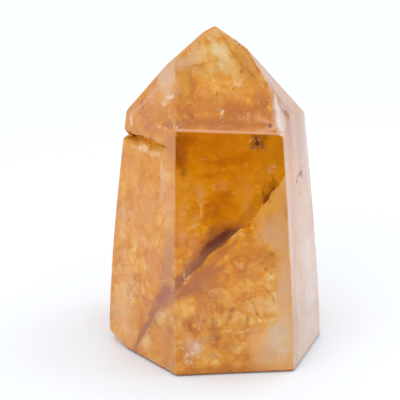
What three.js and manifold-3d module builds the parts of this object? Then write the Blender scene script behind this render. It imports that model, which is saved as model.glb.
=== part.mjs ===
// A polished quartz obelisk: one stone with six leaning sides, a flat foot and a six-sided tip.
// Millimetres, +Z up. The stone stands on z = 0, centred on its own outline.
import * as THREE from 'three';
import { ConvexGeometry } from 'three/addons/geometries/ConvexGeometry.js';
import { mergeVertices } from 'three/addons/utils/BufferGeometryUtils.js';
import Module from 'manifold-3d';

// Driving dimensions. Each flat looks towards an azimuth (degrees round from +X), its outward
// direction rises above the level by `rise` degrees, and it lies `distance` from the origin.
// The sides are in order round the stone, and each swells out of true by its `belly`.
const foot = { azimuth: 0, rise: -90, distance: 0 };
const sides = {
  left: { azimuth: 219.5, rise: 3.5, distance: 22, belly: 0.4 },
  front: { azimuth: 275.5, rise: 5.5, distance: 21.8, belly: 0.6 },
  right: { azimuth: 339.5, rise: 5, distance: 23, belly: 0.4 },
  backRight: { azimuth: 29.5, rise: 4.5, distance: 21.2, belly: 0.4 },
  back: { azimuth: 94.5, rise: 4.5, distance: 23.1, belly: 0.5 },
  backLeft: { azimuth: 159.5, rise: 5, distance: 23.2, belly: 0.8 },
};
const tips = {
  left: { azimuth: 221.5, rise: 27.5, distance: 42.6 },
  front: { azimuth: 278, rise: 39, distance: 47.8 },
  right: { azimuth: 349, rise: 39, distance: 49.8 },
  backRight: { azimuth: 34, rise: 39, distance: 47.3 },
  back: { azimuth: 90, rise: 40, distance: 49 },
  backLeft: { azimuth: 158, rise: 39.5, distance: 50 },
};
const wornFlats = {
  shoulder: { azimuth: 297, rise: 38.5, distance: 49.4 },
  tipLeft: { azimuth: 181, rise: 56, distance: 63 },
  tipRight: { azimuth: 1, rise: 62, distance: 65.9 },
  heel: { azimuth: 200, rise: -45, distance: 16.1 },
};
const edgeRadius = 0.4; // every edge is softened by the polishing
const edgeSteps = 3;
const bellyHeight = 22; // where the sides stand out the most
const shoulderHeight = 56;
const bellyRows = [5, 12, 22, 34, 46];

// An open crevice runs round the left corner, just under the shoulder. Each station gives how far
// along its side it is, the height of its middle, the width of its mouth and its depth.
const crevice = [
  { side: 'left', along: 5.2, height: 51.9, mouth: 0.15, depth: 0.1 },
  { side: 'left', along: 3.5, height: 51.8, mouth: 0.5, depth: 0.25 },
  { side: 'left', along: 1.5, height: 51.7, mouth: 1.2, depth: 0.5 },
  { side: 'left', along: -1.2, height: 51.6, mouth: 2.3, depth: 0.9 },
  { side: 'left', along: -4, height: 51.8, mouth: 1.6, depth: 1.2 },
  { side: 'left', along: -6.5, height: 51.3, mouth: 1.9, depth: 1.1 },
  { side: 'left', along: -8.5, height: 51.1, mouth: 1.7, depth: 1.2 },
  { side: 'left', along: -10.2, height: 51.4, mouth: 2.1, depth: 1.4 },
  { side: 'backLeft', along: 13.2, height: 51.3, mouth: 1.8, depth: 1.3 },
  { side: 'backLeft', along: 10.5, height: 50.9, mouth: 1.1, depth: 0.8 },
  { side: 'backLeft', along: 7.5, height: 50.6, mouth: 0.3, depth: 0.2 },
];
const creviceProud = 1.2; // how far the cutter stands out of the stone

// Small pits and chips: the flat they are in, how far along it, their height, width and depth.
const pits = [
  { flat: sides.front, along: 6.6, height: 52.9, width: 1.7, depth: 0.6 },
  { flat: sides.front, along: 6.3, height: 54.1, width: 1.1, depth: 0.4 },
  { flat: sides.front, along: 5.5, height: 51.9, width: 0.9, depth: 0.35 },
  { flat: sides.front, along: 7.7, height: 52, width: 1, depth: 0.35 },
  { flat: sides.right, along: 0.9, height: 42.1, width: 1.2, depth: 0.4 },
  { flat: sides.right, along: -2.9, height: 42, width: 1, depth: 0.35 },
  { flat: tips.left, along: 1.7, height: 62.2, width: 2.2, depth: 0.4 },
  { flat: tips.front, along: 3.3, height: 72.5, width: 1.3, depth: 0.5 },
  { flat: tips.front, along: -4.3, height: 73.6, width: 1.1, depth: 0.4 },
  { flat: tips.back, along: 4, height: 66, width: 2, depth: 0.4 },
];

const wasm = await Module();
wasm.setup();

function outward({ azimuth, rise }) {
  const round = THREE.MathUtils.degToRad(azimuth);
  const up = THREE.MathUtils.degToRad(rise);
  return new THREE.Vector3(Math.cos(round) * Math.cos(up), Math.sin(round) * Math.cos(up), Math.sin(up));
}

// How far a side stands out of true at a height: nothing at its two ends, its belly in between.
function swell({ belly = 0 }, height) {
  const end = height < bellyHeight ? 0 : shoulderHeight;
  return belly * Math.max(0, 1 - ((height - bellyHeight) / (end - bellyHeight)) ** 2);
}

// The point on a flat at a height, `along` to the right as seen from outside, and `proud` of it.
function onFlat(flat, along, height, proud = 0) {
  const normal = outward(flat);
  const level = new THREE.Vector3(normal.x, normal.y, 0).normalize();
  const reach = (flat.distance + swell(flat, height) - normal.z * height) / normal.dot(level);
  const right = new THREE.Vector3(-level.y, level.x, 0);
  return level.multiplyScalar(reach).addScaledVector(right, along)
    .add(new THREE.Vector3(0, 0, height)).addScaledVector(normal, proud);
}

function crossing(a, b, c) {
  const bc = b.normal.clone().cross(c.normal);
  const volume = a.normal.dot(bc);
  if (Math.abs(volume) < 1e-4) return null;
  return bc.multiplyScalar(a.distance)
    .addScaledVector(c.normal.clone().cross(a.normal), b.distance)
    .addScaledVector(a.normal.clone().cross(b.normal), c.distance)
    .divideScalar(volume);
}

// The points of a ball's patch that faces between the given outward directions, round a centre.
function roundedCorner(centre, [a, b, c = b]) {
  const points = [];
  for (let u = 0; u <= edgeSteps; u += 1) {
    for (let v = 0; v <= edgeSteps - u; v += 1) {
      const towards = a.clone().multiplyScalar(u).addScaledVector(b, v).addScaledVector(c, edgeSteps - u - v);
      points.push(centre.clone().addScaledVector(towards.normalize(), edgeRadius));
    }
  }
  return points;
}

// Where the flats meet three by three, each corner rounded. The flats first move in by the radius.
function cornerPoints(flats) {
  const planes = flats.map((flat) => ({ normal: outward(flat), distance: flat.distance - edgeRadius }));
  const inside = (point) => planes.every((plane) => plane.normal.dot(point) < plane.distance + 1e-6);
  const points = [];
  planes.forEach((a, i) => planes.slice(i + 1).forEach((b, j) => planes.slice(i + j + 2).forEach((c) => {
    const corner = crossing(a, b, c);
    if (corner && inside(corner)) points.push(...roundedCorner(corner, [a.normal, b.normal, c.normal]));
  })));
  return points;
}

// Points down the upright edge between two sides, at the heights where the belly is shaped.
function bellyPoints(side, next) {
  return bellyRows.flatMap((height) => {
    const [a, b] = [side, next].map((flat) => (
      { normal: outward(flat), distance: flat.distance - edgeRadius + swell(flat, height) }));
    const level = { normal: new THREE.Vector3(0, 0, 1), distance: height };
    return roundedCorner(crossing(a, b, level), [a.normal, b.normal]);
  });
}

// The stone before its damage: the rounded shape inside all the flats, with its swelling sides.
function polishedStone() {
  const round = Object.values(sides);
  const flats = [foot, ...round, ...Object.values(tips), ...Object.values(wornFlats)];
  const bellies = round.flatMap((side, i) => bellyPoints(side, round[(i + 1) % round.length]));
  return new ConvexGeometry([...cornerPoints(flats), ...bellies]);
}

// A closed skin over a row of rings with the same number of points, capped at both ends.
function loft(rings) {
  const sections = rings[0].length;
  const positions = rings.flat().flatMap((point) => [point.x, point.y, point.z]);
  const index = [];
  for (let ring = 0; ring < rings.length - 1; ring += 1) {
    for (let side = 0; side < sections; side += 1) {
      const a = ring * sections + side;
      const b = ring * sections + (side + 1) % sections;
      index.push(a, b, a + sections, b, b + sections, a + sections);
    }
  }
  const last = (rings.length - 1) * sections;
  for (let side = 1; side < sections - 1; side += 1) {
    index.push(0, side + 1, side, last, last + side, last + side + 1);
  }
  const geometry = new THREE.BufferGeometry();
  geometry.setAttribute('position', new THREE.Float32BufferAttribute(positions, 3));
  geometry.setIndex(index);
  return geometry;
}

// The crevice's cutter: a wedge with a blunt inner edge, widest outside the stone.
function creviceCutter() {
  return loft(crevice.map(({ side, along, height, mouth, depth }) => {
    const flare = mouth / 2 * (1 + creviceProud / depth * 0.5);
    return [
      onFlat(sides[side], along, height + Math.min(flare, mouth), creviceProud),
      onFlat(sides[side], along, height + mouth * 0.18, -depth),
      onFlat(sides[side], along, height - mouth * 0.1, -depth),
      onFlat(sides[side], along, height - Math.min(flare, mouth), creviceProud),
    ];
  }));
}

// A pit's cutter: a flattened ball sunk to its depth, with its facets left rough.
function pitCutter({ flat, along, height, width, depth }) {
  const thickness = depth * 2;
  const ball = new THREE.IcosahedronGeometry(0.5, 1).scale(width, width * 0.85, thickness * 1.5);
  ball.applyQuaternion(new THREE.Quaternion().setFromUnitVectors(new THREE.Vector3(0, 0, 1), outward(flat)));
  const centre = onFlat(flat, along, height, thickness * 0.75 - depth);
  return ball.translate(centre.x, centre.y, centre.z);
}

function toSolid(geometry) {
  const bare = geometry.clone();
  bare.deleteAttribute('normal');
  bare.deleteAttribute('uv');
  const merged = mergeVertices(bare, 1e-4);
  return new wasm.Manifold(new wasm.Mesh({
    numProp: 3,
    vertProperties: Float32Array.from(merged.attributes.position.array),
    triVerts: Uint32Array.from(merged.index.array),
  }));
}

function toGeometry(solid) {
  const { vertProperties, triVerts } = solid.getMesh();
  const geometry = new THREE.BufferGeometry();
  geometry.setAttribute('position', new THREE.Float32BufferAttribute(vertProperties, 3));
  geometry.setIndex([...triVerts]);
  return geometry;
}

function quartzStone() {
  let stone = toSolid(polishedStone());
  for (const cutter of [creviceCutter(), ...pits.map(pitCutter)]) {
    stone = stone.subtract(toSolid(cutter));
  }
  const geometry = toGeometry(stone);
  geometry.computeBoundingBox();
  const middle = geometry.boundingBox.getCenter(new THREE.Vector3());
  geometry.translate(-middle.x, -middle.y, 0);
  geometry.computeVertexNormals();
  return geometry;
}

const goldenQuartz = new THREE.MeshStandardMaterial({ color: 0xd9924a, roughness: 0.12, metalness: 0 });

const group = new THREE.Group();
const stone = new THREE.Mesh(quartzStone(), goldenQuartz);
stone.name = 'quartz_stone';
group.add(stone);

export default group;
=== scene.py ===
import math

import bmesh
import bpy
import numpy as np
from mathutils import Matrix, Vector, noise
from mathutils.geometry import delaunay_2d_cdt


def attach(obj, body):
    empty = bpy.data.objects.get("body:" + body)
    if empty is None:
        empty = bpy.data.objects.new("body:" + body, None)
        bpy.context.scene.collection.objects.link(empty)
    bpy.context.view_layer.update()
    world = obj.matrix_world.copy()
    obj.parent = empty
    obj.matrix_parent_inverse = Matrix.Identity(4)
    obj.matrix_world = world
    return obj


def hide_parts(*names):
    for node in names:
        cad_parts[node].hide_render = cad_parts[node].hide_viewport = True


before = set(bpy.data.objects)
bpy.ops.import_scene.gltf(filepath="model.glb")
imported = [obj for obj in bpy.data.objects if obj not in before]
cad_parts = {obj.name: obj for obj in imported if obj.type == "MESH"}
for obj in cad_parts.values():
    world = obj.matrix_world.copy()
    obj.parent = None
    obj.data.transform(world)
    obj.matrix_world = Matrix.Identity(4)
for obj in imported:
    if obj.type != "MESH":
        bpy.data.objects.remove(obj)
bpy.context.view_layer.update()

mm = 0.001

# The polished flats: azimuth and lean of the outward direction in degrees, and the distance
# from the stone's cutting axis in mm. The axis stands a little off the middle of the foot.
flats = {
    "left": (219.5, 3.5, 22.0),
    "front": (275.5, 5.5, 21.8),
    "right": (339.5, 5.0, 23.0),
    "backRight": (29.5, 4.5, 21.2),
    "back": (94.5, 4.5, 23.1),
    "backLeft": (159.5, 5.0, 23.2),
    "tipLeft": (221.5, 27.5, 42.6),
    "tipFront": (278.0, 39.0, 47.8),
    "tipRight": (349.0, 39.0, 49.8),
    "tipBackRight": (34.0, 39.0, 47.3),
    "tipBack": (90.0, 40.0, 49.0),
    "tipBackLeft": (158.0, 39.5, 50.0),
    "shoulder": (297.0, 38.5, 49.4),
    "foot": (0.0, -90.0, 0.0),
}
axisPlace = (0.668, -0.584)

# One fracture crosses the stone. It rises to the right and sinks towards the back, and it
# waves: each pair gives how far it lifts out of its plane at a place across the stone, in mm.
fracture = {
    "height": 18.15,
    "riseAcross": 1.188,
    "riseBack": -0.561,
    "steepness": 0.606,             # turns a height over the plane into a distance from it
    "wave": [(-20, -0.5), (-18.3, 0.0), (-17.7, 0.9), (-15.2, 2.2), (-13.7, 5.4), (-10.8, 3.0),
             (-9.3, 0.4), (-8.8, 0.0), (-7.5, 0.8), (-6.1, 0.7), (-3.4, 0.1), (-1.5, 0.8),
             (1.6, -0.8), (4.0, -0.7), (6.2, -1.7), (7.6, -1.8), (9.0, -1.5), (10.8, -1.2),
             (12.1, -0.6), (13.3, -0.6), (14.8, 0.0), (20, 0.0)],
    "jags": [(0.2, 2.6, 0.8), (0.08, 5.9, 0.0)],    # mm, radians per mm across, and start
    "jagsLeft": 0.4,                # share of the jags that the left has,
    "jagsGrow": (0.0, 9.0),         # and the places between which they grow
    "grooveWidth": 0.3,             # mm, as its depth; it fades out at the foot and the corners
    "grooveDepth": 0.035,
    "grooveFront": (-9.0, -11.5),
    "grooveRight": (15.4, 13.6),
    "grooveLow": (1.0, 3.0),
    "grooveShare": 0.65,            # it is broken into shallower and deeper pieces
    "grooveChange": 0.5,
    "groovePiece": 2.5,
    # how strong the line and the painted shade over it are, at places across the stone
    "darkness": [(-11, 0.0), (-9, 0.1), (-6, 0.2), (-4, 0.3), (-2, 0.5), (1.5, 0.6), (3, 0.6), (5, 0.5),
                 (7, 0.25), (9, 0.2), (10.2, 0.45), (10.9, 0.9), (12, 0.4), (13, 0.15), (15.5, 0.0)],
}

stoneMesh = {
    "fine": 0.26,                  # mm between points near cracks, chips, thin lines and the crevice
    "coarse": 4,                   # how many times wider the points stand elsewhere,
    "steps": {"front": 1, "left": 1, "tipFront": 1, "tipLeft": 1, "shoulder": 1,
              "right": 2, "tipRight": 2},    # and on the flats that need their own step
    "edges": 0.45,                 # mm between points along a ridge
    "edgeRow": 0.3,                # mm from a ridge to the first row of points
    "edgeAngle": 4,                # degrees from which an edge counts as a ridge
    "shortestEdge": 0.3,           # mm, shorter ones get no point in that row
    "rimSpace": 0.55,              # least distance from the rim, in steps and in rows
    "rowSpace": 0.7,
    "pointSpace": 0.25,            # mm, least distance from the row to the points inside
    "weld": 0.002,                 # mm
    "levelWithin": 0.4,            # degrees between triangles that belong to one flat
    "fractureBand": 1.0,           # mm over and under the fracture that get fine points,
    "fractureFront": -9.0,         # in front of this place and left of this one
    "fractureRight": 15.5,
    "creviceBand": (49.0, 54.0),   # heights that get fine points round the crevice,
    "creviceRight": -8.0,          # left of this place
    "nickMargin": 0.7,             # mm of fine points round a nick
}


def smoothStep(value, low, high):
    t = np.clip((value - low) / (high - low), 0.0, 1.0)
    return t * t * (3 - 2 * t)


def lightOf(channel):  # one channel of a screen colour, 0 to 255
    return ((channel / 255 + 0.055) / 1.055) ** 2.4 if channel > 10 else channel / 255 / 12.92


def colour(red, green, blue):  # a screen colour in the scene's light
    return (lightOf(red), lightOf(green), lightOf(blue), 1.0)


def outward(azimuth, lean):
    a, e = math.radians(azimuth), math.radians(lean)
    return np.array([math.cos(a) * math.cos(e), math.sin(a) * math.cos(e), math.sin(e)])


flatNames = list(flats)
flatNormals = np.array([outward(a, e) for a, e, _ in flats.values()])
flatReach = np.array([d for _, _, d in flats.values()]) + flatNormals[:, :2] @ np.array(axisPlace)


def planeOf(name):  # a flat's outward direction and its distance from the origin
    k = flatNames.index(name)
    return flatNormals[k], flatReach[k]


def sideways(name):
    a = math.radians(flats[name][0])
    return np.array([-math.sin(a), math.cos(a), 0.0])


def onFlat(name, along, height):  # a point of a flat, in mm
    normal, reach = planeOf(name)
    level = np.array([normal[0], normal[1], 0.0]) / math.hypot(normal[0], normal[1])
    out = (reach - normal[2] * height) / math.hypot(normal[0], normal[1])
    return sideways(name) * along + level * out + np.array([0.0, 0.0, height])


def onRidge(first, second, height):  # where two flats meet at a height
    firstNormal, firstReach = planeOf(first)
    secondNormal, secondReach = planeOf(second)
    return np.linalg.solve([firstNormal, secondNormal, [0, 0, 1]], [firstReach, secondReach, height])


def inwardAt(first, second, axes=3):  # from the ridge between two flats into the stone
    inward = -(planeOf(first)[0] + planeOf(second)[0])[:axes]
    return inward / np.linalg.norm(inward)


def below(points, name):  # how far points lie under a flat
    normal, reach = planeOf(name)
    return reach - points @ normal


def nearestFlat(points):  # which flat each point belongs to, and the depth below it
    depth = flatReach - points @ flatNormals.T
    return depth.argmin(axis=1), depth.min(axis=1)


def aboveFracture(points):  # signed distance in mm, positive above the fracture
    across, back = points[:, 0], points[:, 1]
    wave = np.interp(across, *zip(*fracture["wave"]))
    jags = sum(size * np.sin(often * across + start) for size, often, start in fracture["jags"])
    jags = jags * (fracture["jagsLeft"] + smoothStep(across, *fracture["jagsGrow"]))
    surface = fracture["height"] + fracture["riseAcross"] * across + fracture["riseBack"] * back
    surface = surface + wave + jags
    return (points[:, 2] - surface) * fracture["steepness"]


# Where each noise is read, so that no two patterns of wear or colour fall together.
noiseStart = {
    "polish": 0, "patchAcross": 11, "cloudyBack": 17, "groove": 20, "patchUp": 23, "markAcross": 31,
    "grain": 40, "markUp": 57, "ripple": 60, "brokenLines": 71, "fineGrain": 80, "calmRim": 91,
    "ledgePlace": 130, "ledgeDepth": 140,
}


def noiseField(points, size, pattern):  # smooth noise between about -1 and 1
    start = Vector((noiseStart[pattern], 0, 0))
    return np.array([noise.noise(Vector(p / size) + start) for p in points])


# Small losses along the ridges: the two flats, the height, the radius and the depth in mm.
nicks = [
    ("left", "front", 20.0, 0.7, 0.25),
    ("left", "front", 55.4, 0.6, 0.2),
    ("left", "front", 8.6, 0.4, 0.12),
    ("front", "right", 31.0, 0.5, 0.12),
    ("front", "right", 12.4, 0.4, 0.1),
    ("right", "backRight", 24.0, 0.8, 0.2),
    ("backRight", "back", 47.0, 0.7, 0.22),
    ("backRight", "back", 15.0, 0.9, 0.25),
    ("back", "backLeft", 33.0, 0.8, 0.2),
    ("backLeft", "left", 30.0, 0.6, 0.15),
    ("tipLeft", "tipFront", 66.5, 0.8, 0.15),
    ("tipFront", "shoulder", 61.0, 0.6, 0.15),
    ("tipBack", "tipBackLeft", 63.0, 1.0, 0.25),
]

# The two clusters of small pits, and other chipped places: flat, place along it, height, radius.
pits = [("front", 8.3, 53.0, 2.6), ("right", 0.0, 42.0, 2.6)]
chips = [("tipLeft", 2.4, 62.2, 1.8), ("tipFront", 2.5, 72.5, 2.5), ("tipFront", -3.6, 73.0, 2.0),
         ("shoulder", 0.0, 58.0, 3.0)]

finePlaces = [(onRidge(first, second, height), radius + stoneMesh["nickMargin"])
              for first, second, height, radius, _ in nicks]
finePlaces += [(onFlat(name, along, height), radius) for name, along, height, radius in pits + chips]


def wantsFine(points):
    points = np.atleast_2d(points)
    across, back, height = points.T
    near = np.abs(aboveFracture(points)) < stoneMesh["fractureBand"]
    near &= (back < stoneMesh["fractureFront"]) & (across < stoneMesh["fractureRight"])
    low, high = stoneMesh["creviceBand"]
    near |= (height > low) & (height < high) & (across < stoneMesh["creviceRight"])
    for centre, radius in finePlaces:
        near |= np.linalg.norm(points - centre, axis=1) < radius
    return near


def splitEdges(bm):
    waiting = list(bm.edges)
    while waiting:
        edge = waiting.pop()
        length = edge.calc_length()
        if length <= stoneMesh["fine"]:
            continue
        middle = (edge.verts[0].co + edge.verts[1].co) / 2
        if length > stoneMesh["edges"] or wantsFine(np.array(middle))[0]:
            _, newVert = bmesh.utils.edge_split(edge, edge.verts[0], 0.5)
            waiting.extend(newVert.link_edges)


def rimDistance(points, outline):  # from each point to the nearest side of an outline
    best = np.full(len(points), 1e9)
    for start, end in zip(outline, np.roll(outline, -1, axis=0)):
        span = end - start
        t = np.clip(((points - start) @ span) / max(span @ span, 1e-12), 0, 1)
        best = np.minimum(best, np.linalg.norm(points - start - t[:, None] * span, axis=1))
    return best


def insideOutline(points, outline):
    inside = np.zeros(len(points), bool)
    for (x0, y0), (x1, y1) in zip(outline, np.roll(outline, -1, axis=0)):
        if y0 == y1:
            continue
        crosses = (y0 > points[:, 1]) != (y1 > points[:, 1])
        inside ^= crosses & (points[:, 0] < (x1 - x0) * (points[:, 1] - y0) / (y1 - y0) + x0)
    return inside


def staggered(outline, step):  # places inside an outline, every other row shifted by half a step
    low, high = outline.min(axis=0), outline.max(axis=0)
    columns = np.arange(math.floor(low[0] / step), math.ceil(high[0] / step) + 1)
    rows = np.arange(math.floor(low[1] / step), math.ceil(high[1] / step) + 1)
    i, j = (grid.ravel() for grid in np.meshgrid(columns, rows))
    grid = np.stack([(i + 0.5 * (j % 2)) * step, j * step], axis=1)
    keep = insideOutline(grid, outline)
    return grid[keep], i[keep], j[keep]


def rowInside(face, outline):  # a row of points just inside the ridges
    row = []
    sharp = math.radians(stoneMesh["edgeAngle"])
    for k, edge in enumerate(face.edges):
        start, end = outline[k], outline[(k + 1) % len(outline)]
        span = end - start
        length = np.linalg.norm(span)
        ridge = len(edge.link_faces) == 2 and edge.calc_face_angle(0) > sharp
        if ridge and length > stoneMesh["shortestEdge"]:
            inward = np.array([-span[1], span[0]]) / length
            row.append((start + end) / 2 + inward * stoneMesh["edgeRow"])
    row = np.array(row).reshape(-1, 2)
    row = row[insideOutline(row, outline)]
    return row[rimDistance(row, outline) > stoneMesh["rowSpace"] * stoneMesh["edgeRow"]]


def fillFlat(bm, face):  # replaces one large flat polygon by well-shaped triangles
    normal, origin = np.array(face.normal), np.array(face.verts[0].co)
    across = np.cross(normal, [0.3, 0.5, 0.81])
    across /= np.linalg.norm(across)
    up = np.cross(normal, across)
    ring = [np.array(v.co) for v in face.verts]
    outline = np.array([[(p - origin) @ across, (p - origin) @ up] for p in ring])
    grid, i, j = staggered(outline, stoneMesh["fine"])
    every = stoneMesh["steps"].get(flatNames[int((flatNormals @ normal).argmax())], stoneMesh["coarse"])
    regular = ((i + (j // every % 2) * (every // 2)) % every == 0) & (j % every == 0)
    grid = grid[wantsFine(origin + grid[:, :1] * across + grid[:, 1:] * up) | regular]
    inner = grid[rimDistance(grid, outline) > stoneMesh["rimSpace"] * stoneMesh["fine"]]
    row = rowInside(face, outline)
    if len(row) and len(inner):
        apart = np.array([np.min(np.linalg.norm(row - p, axis=1)) for p in inner])
        inner = inner[apart > stoneMesh["pointSpace"]]
    count = len(ring)
    loop = [(k, (k + 1) % count) for k in range(count)]
    places, _, triangles, sources, _, _ = delaunay_2d_cdt(
        [Vector(p) for p in (*outline, *inner, *row)], loop, [], 1, 1e-5)
    verts = []
    for place, source in zip(places, sources):
        known = [s for s in source if s < count]
        if known:
            verts.append(face.verts[known[0]])
        else:
            verts.append(bm.verts.new(origin + place[0] * across + place[1] * up))
    made = [bm.faces.new([verts[c] for c in corners]) for corners in triangles]
    bm.faces.remove(face)
    for new in made:
        new.normal_update()
        if np.array(new.normal) @ normal < 0:
            new.normal_flip()


def fineStone(node):
    bm = bmesh.new()
    bm.from_mesh(node.data)
    bmesh.ops.scale(bm, vec=(1 / mm, 1 / mm, 1 / mm), verts=bm.verts)
    bmesh.ops.remove_doubles(bm, verts=bm.verts, dist=stoneMesh["weld"])
    bmesh.ops.dissolve_limit(bm, angle_limit=math.radians(stoneMesh["levelWithin"]),
                             verts=bm.verts, edges=bm.edges)
    splitEdges(bm)
    bm.normal_update()
    for face in list(bm.faces):
        if len(face.verts) > 3:
            fillFlat(bm, face)
    bmesh.ops.triangulate(bm, faces=[f for f in bm.faces if len(f.verts) > 3])
    bm.normal_update()
    loose = [e for e in bm.edges if not e.is_manifold]
    print("stone mesh:", len(bm.verts), "points,", len(bm.faces), "triangles,", len(loose), "open edges")
    return bm


# What use and the cutter left on the stone. Lengths are in mm.
wear = {
    "hollow": (0.12, 0.6),          # a point this far below its flat lies in a hollow
    "polish": 0.035,                # the low waves of the polish, which fade out at the foot
    "polishSize": 11.0,
    "polishLow": (0.0, 2.0),
    "grain": 0.11,                  # how rough the crevice and the chips are
    "grainSize": 0.9,
    "fineGrain": 0.5,               # a finer one on it, as a share
    "fineGrainSize": 0.4,
    "ripple": 0.05,                 # on the shoulder flat, down to this depth and rim under it
    "rippleDepth": 0.25,
    "rippleRim": 0.1,
    "rippleRun": (3.4, 1.2, -0.9),
    "rippleBend": 2.0,
    "rippleSize": 3.0,
    "apex": 0.4,                    # lost from the point, and how far round it
    "apexRadius": 1.6,
}

# The crevice's lips are worn round at the corner: each pair is a height and how far in it is
# worn. A small ledge lies under its mouth: each pair is a place along the flat and its height.
crevice = {
    "height": 52.0,
    "spread": 4.2,
    "lips": [(50.3, 0.0), (50.7, 0.15), (51.1, 0.8), (51.5, 0.9), (51.9, 0.5), (52.3, 0.15), (52.8, 0.0)],
    "ledge": [(-9.5, 50.9), (-5, 50.5), (-3, 50.3), (-0.5, 50.4), (2.4, 51.1), (5, 51.9)],
    "ledgeHalfHeight": 0.5,
    "ledgeDepth": 0.8,
    "ledgeStart": (-9.6, -8.6),     # it fades out at both ends and deep inside
    "ledgeEnd": (5.2, 3.4),
    "ledgeInside": (8, 5),
    "ledgeWander": (0.3, 0.9),      # how far it wanders, and over what length
    "ledgeShare": 0.8,
    "ledgeChange": (0.5, 1.4),      # how much its depth changes, and over what length
}


def pointArray(verts):
    return np.array([v.co for v in verts])


def surfaceWear(points):  # how far each point moves out along its normal
    _, depth = nearestFlat(points)
    hollow = smoothStep(depth, *wear["hollow"])
    polish = noiseField(points, wear["polishSize"], "polish") * (1 - hollow)
    polish = polish * smoothStep(points[:, 2], *wear["polishLow"])
    grain = noiseField(points, wear["grainSize"], "grain")
    grain = grain + wear["fineGrain"] * noiseField(points, wear["fineGrainSize"], "fineGrain")
    moved = polish * wear["polish"] + grain * hollow * wear["grain"]
    reach = smoothStep(points[:, 1], *fracture["grooveFront"])
    reach = reach * smoothStep(points[:, 0], *fracture["grooveRight"])
    groove = np.exp(-(aboveFracture(points) / fracture["grooveWidth"]) ** 2) * reach
    groove = groove * smoothStep(points[:, 2], *fracture["grooveLow"])
    broken = noiseField(points, fracture["groovePiece"], "groove")
    groove *= fracture["grooveShare"] + fracture["grooveChange"] * broken
    moved -= groove * fracture["grooveDepth"] * (1 - hollow)
    shoulder = smoothStep(wear["rippleDepth"] - below(points, "shoulder"), 0.0, wear["rippleRim"])
    bend = wear["rippleBend"] * noiseField(points, wear["rippleSize"], "ripple")
    moved += shoulder * np.sin(points @ np.array(wear["rippleRun"]) + bend) * wear["ripple"]
    return moved


def wearNicks(points):
    for first, second, height, radius, depth in nicks:
        near = np.linalg.norm(points - onRidge(first, second, height), axis=1)
        loss = np.clip(1 - (near / radius) ** 2, 0, 1) * depth
        points += inwardAt(first, second) * loss[:, None]


def wearCrevice(points):
    corner = onRidge("left", "backLeft", crevice["height"])
    near = np.exp(-(np.linalg.norm(points[:, :2] - corner[:2], axis=1) / crevice["spread"]) ** 2)
    lips = near * np.interp(points[:, 2], *zip(*crevice["lips"]))
    points[:, :2] += inwardAt("left", "backLeft", axes=2) * lips[:, None]
    along = points @ sideways("left")
    reach = smoothStep(along, *crevice["ledgeStart"]) * smoothStep(along, *crevice["ledgeEnd"])
    reach = reach * smoothStep(below(points, "left"), *crevice["ledgeInside"])
    wander, wanderSize = crevice["ledgeWander"]
    change, changeSize = crevice["ledgeChange"]
    middle = np.interp(along, *zip(*crevice["ledge"]))
    middle = middle + wander * noiseField(points, wanderSize, "ledgePlace")
    ledge = np.exp(-((points[:, 2] - middle) / crevice["ledgeHalfHeight"]) ** 2)
    ledge = ledge * (crevice["ledgeShare"] + change * noiseField(points, changeSize, "ledgeDepth"))
    points -= planeOf("left")[0] * (ledge * reach * crevice["ledgeDepth"])[:, None]


def wearApex(points):
    apex = points[points[:, 2].argmax()]
    near = np.clip(1 - np.linalg.norm(points - apex, axis=1) / wear["apexRadius"], 0, 1)
    points[:, 2] -= wear["apex"] * near ** 2


def wearStone(bm):
    points = pointArray(bm.verts)
    normals = np.array([v.normal for v in bm.verts])
    points = points + normals * surfaceWear(points)[:, None]
    wearNicks(points)
    wearCrevice(points)
    wearApex(points)
    points[:, 2] = np.maximum(points[:, 2], 0.0)
    for vert, place in zip(bm.verts, points):
        vert.co = place
    print("stone wear: polish, groove, nicks, crevice and point are worn")


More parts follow.
